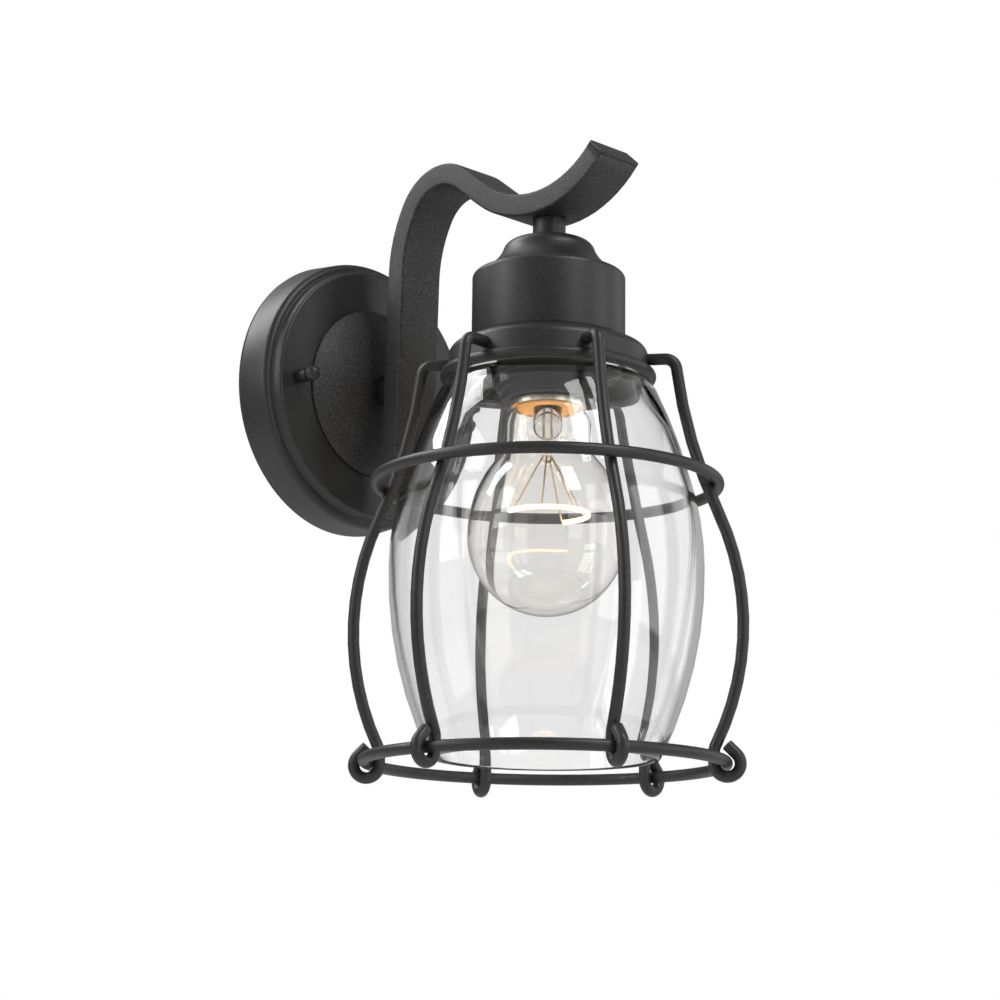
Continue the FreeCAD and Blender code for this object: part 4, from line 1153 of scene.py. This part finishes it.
class SCONCE_OT_stage(SconceOperator):
    """Pale floor, soft light, white background and the camera"""

    bl_idname = "sconce.stage"
    bl_label = "Stage"

    def execute(self, context):
        context.scene.view_settings.view_transform = "Standard"
        self.camera(context.scene)
        self.world(context.scene)
        for light in LIGHTS:
            soft_light(*light)
        self.bulb_light()
        self.floor()
        return {"FINISHED"}

    def camera(self, scene):
        """The photograph's camera."""
        data = bpy.data.cameras.new("view")
        data.lens = CAMERA_LENS
        data.sensor_width = CAMERA_SENSOR
        data.clip_end = FARTHEST_SEEN
        right, up, ahead = camera_axes()
        spot = -ahead * CAMERA_DISTANCE + right * CAMERA_ASIDE[0] + up * CAMERA_ASIDE[1]
        turn = Matrix((right, up, -ahead)).transposed().to_4x4()
        scene.camera = add_object("view", data)
        scene.camera.matrix_world = Matrix.Translation(spot * MM) @ turn

    def world(self, scene):
        """White where it is seen directly or through glass, and a plain level as light."""
        scene.world = bpy.data.worlds.new("studio")
        graph = Graph(scene.world)
        seen = straight_view(graph)
        plain, white = (
            graph.node("ShaderNodeBackground", None, {"Color": WHITE, "Strength": strength})
            for strength in (PLAIN_LIGHT, 1.0)
        )
        both = graph.node("ShaderNodeMixShader", None, {0: seen, 1: plain, 2: white})
        graph.node("ShaderNodeOutputWorld", None, {"Surface": both})

    def bulb_light(self):
        """The warm light that the filament gives."""
        data = bpy.data.lights.new("warmth", "POINT")
        data.energy = WARMTH_POWER
        data.color = WARMTH_COLOUR
        data.shadow_soft_size = WARMTH_SIZE
        lamp = add_object("warmth", data)
        lamp.location = LAMP + Vector((0, 0, WARMTH_HEIGHT))
        lamp.visible_transmission = False
        lamp.visible_camera = False
        lamp.visible_glossy = False

    def floor(self):
        """A wide pale floor below the lamp, see-through from beneath."""
        bm = bmesh.new()
        bmesh.ops.create_grid(bm, x_segments=1, y_segments=1, size=FLOOR_HALF)
        bmesh.ops.translate(bm, verts=bm.verts[:], vec=(0, 0, FLOOR_HEIGHT))
        floor = add_object("pale_floor", into_mesh(bm, "pale_floor"))
        graph = Graph(bpy.data.materials.new("pale_floor"))
        pale = graph.shader(Base_Color=rgba(shades().floor), Roughness=0.9)
        white = graph.node("ShaderNodeEmission", None, {"Color": WHITE, "Strength": 1.0})
        share = straight_view(graph) * FLOOR_GLOW
        above = graph.node("ShaderNodeMixShader", None, {0: share, 1: pale, 2: white})
        beneath = graph.node("ShaderNodeNewGeometry", out="Backfacing")
        open_side = graph.node("ShaderNodeBsdfTransparent")
        both = graph.node("ShaderNodeMixShader", None, {0: beneath, 1: above, 2: open_side})
        floor.data.materials.append(graph.surface(both))


class SCONCE_PT_panel(bpy.types.Panel):
    """Lists the sizes, colours and pieces"""

    bl_idname = "SCONCE_PT_panel"
    bl_label = "Wall sconce"
    bl_space_type = "VIEW_3D"
    bl_region_type = "UI"
    bl_category = "Sconce"

    def draw(self, context):
        layout = self.layout
        for group in (context.scene.sconce_sizes, context.scene.sconce_colours):
            for name in group.bl_rna.properties.keys():
                if name not in {"rna_type", "name"}:
                    layout.prop(group, name)
        for operator in OPERATORS:
            layout.operator(operator.bl_idname)


OPERATORS = (
    SCONCE_OT_stage,
    SCONCE_OT_back_plate,
    SCONCE_OT_dome,
    SCONCE_OT_arm,
    SCONCE_OT_cap_nuts,
    SCONCE_OT_cup,
    SCONCE_OT_fitter,
    SCONCE_OT_cage,
    SCONCE_OT_holder,
    SCONCE_OT_glass,
    SCONCE_OT_bulb,
    SCONCE_OT_kept_pieces,
)
CLASSES = (SconceSizes, SconceColours, *OPERATORS, SCONCE_PT_panel)


def register():
    """Add the classes and the scene's properties."""
    for each in CLASSES:
        bpy.utils.register_class(each)
    bpy.types.Scene.sconce_sizes = bpy.props.PointerProperty(type=SconceSizes)
    bpy.types.Scene.sconce_colours = bpy.props.PointerProperty(type=SconceColours)


def unregister():
    """Take them out again."""
    del bpy.types.Scene.sconce_sizes
    del bpy.types.Scene.sconce_colours
    for each in reversed(CLASSES):
        bpy.utils.unregister_class(each)


def main():
    """Build the scene."""
    register()
    for operator in OPERATORS:
        group, name = operator.bl_idname.split(".")
        getattr(getattr(bpy.ops, group), name)()


if __name__ == "__main__":
    main()
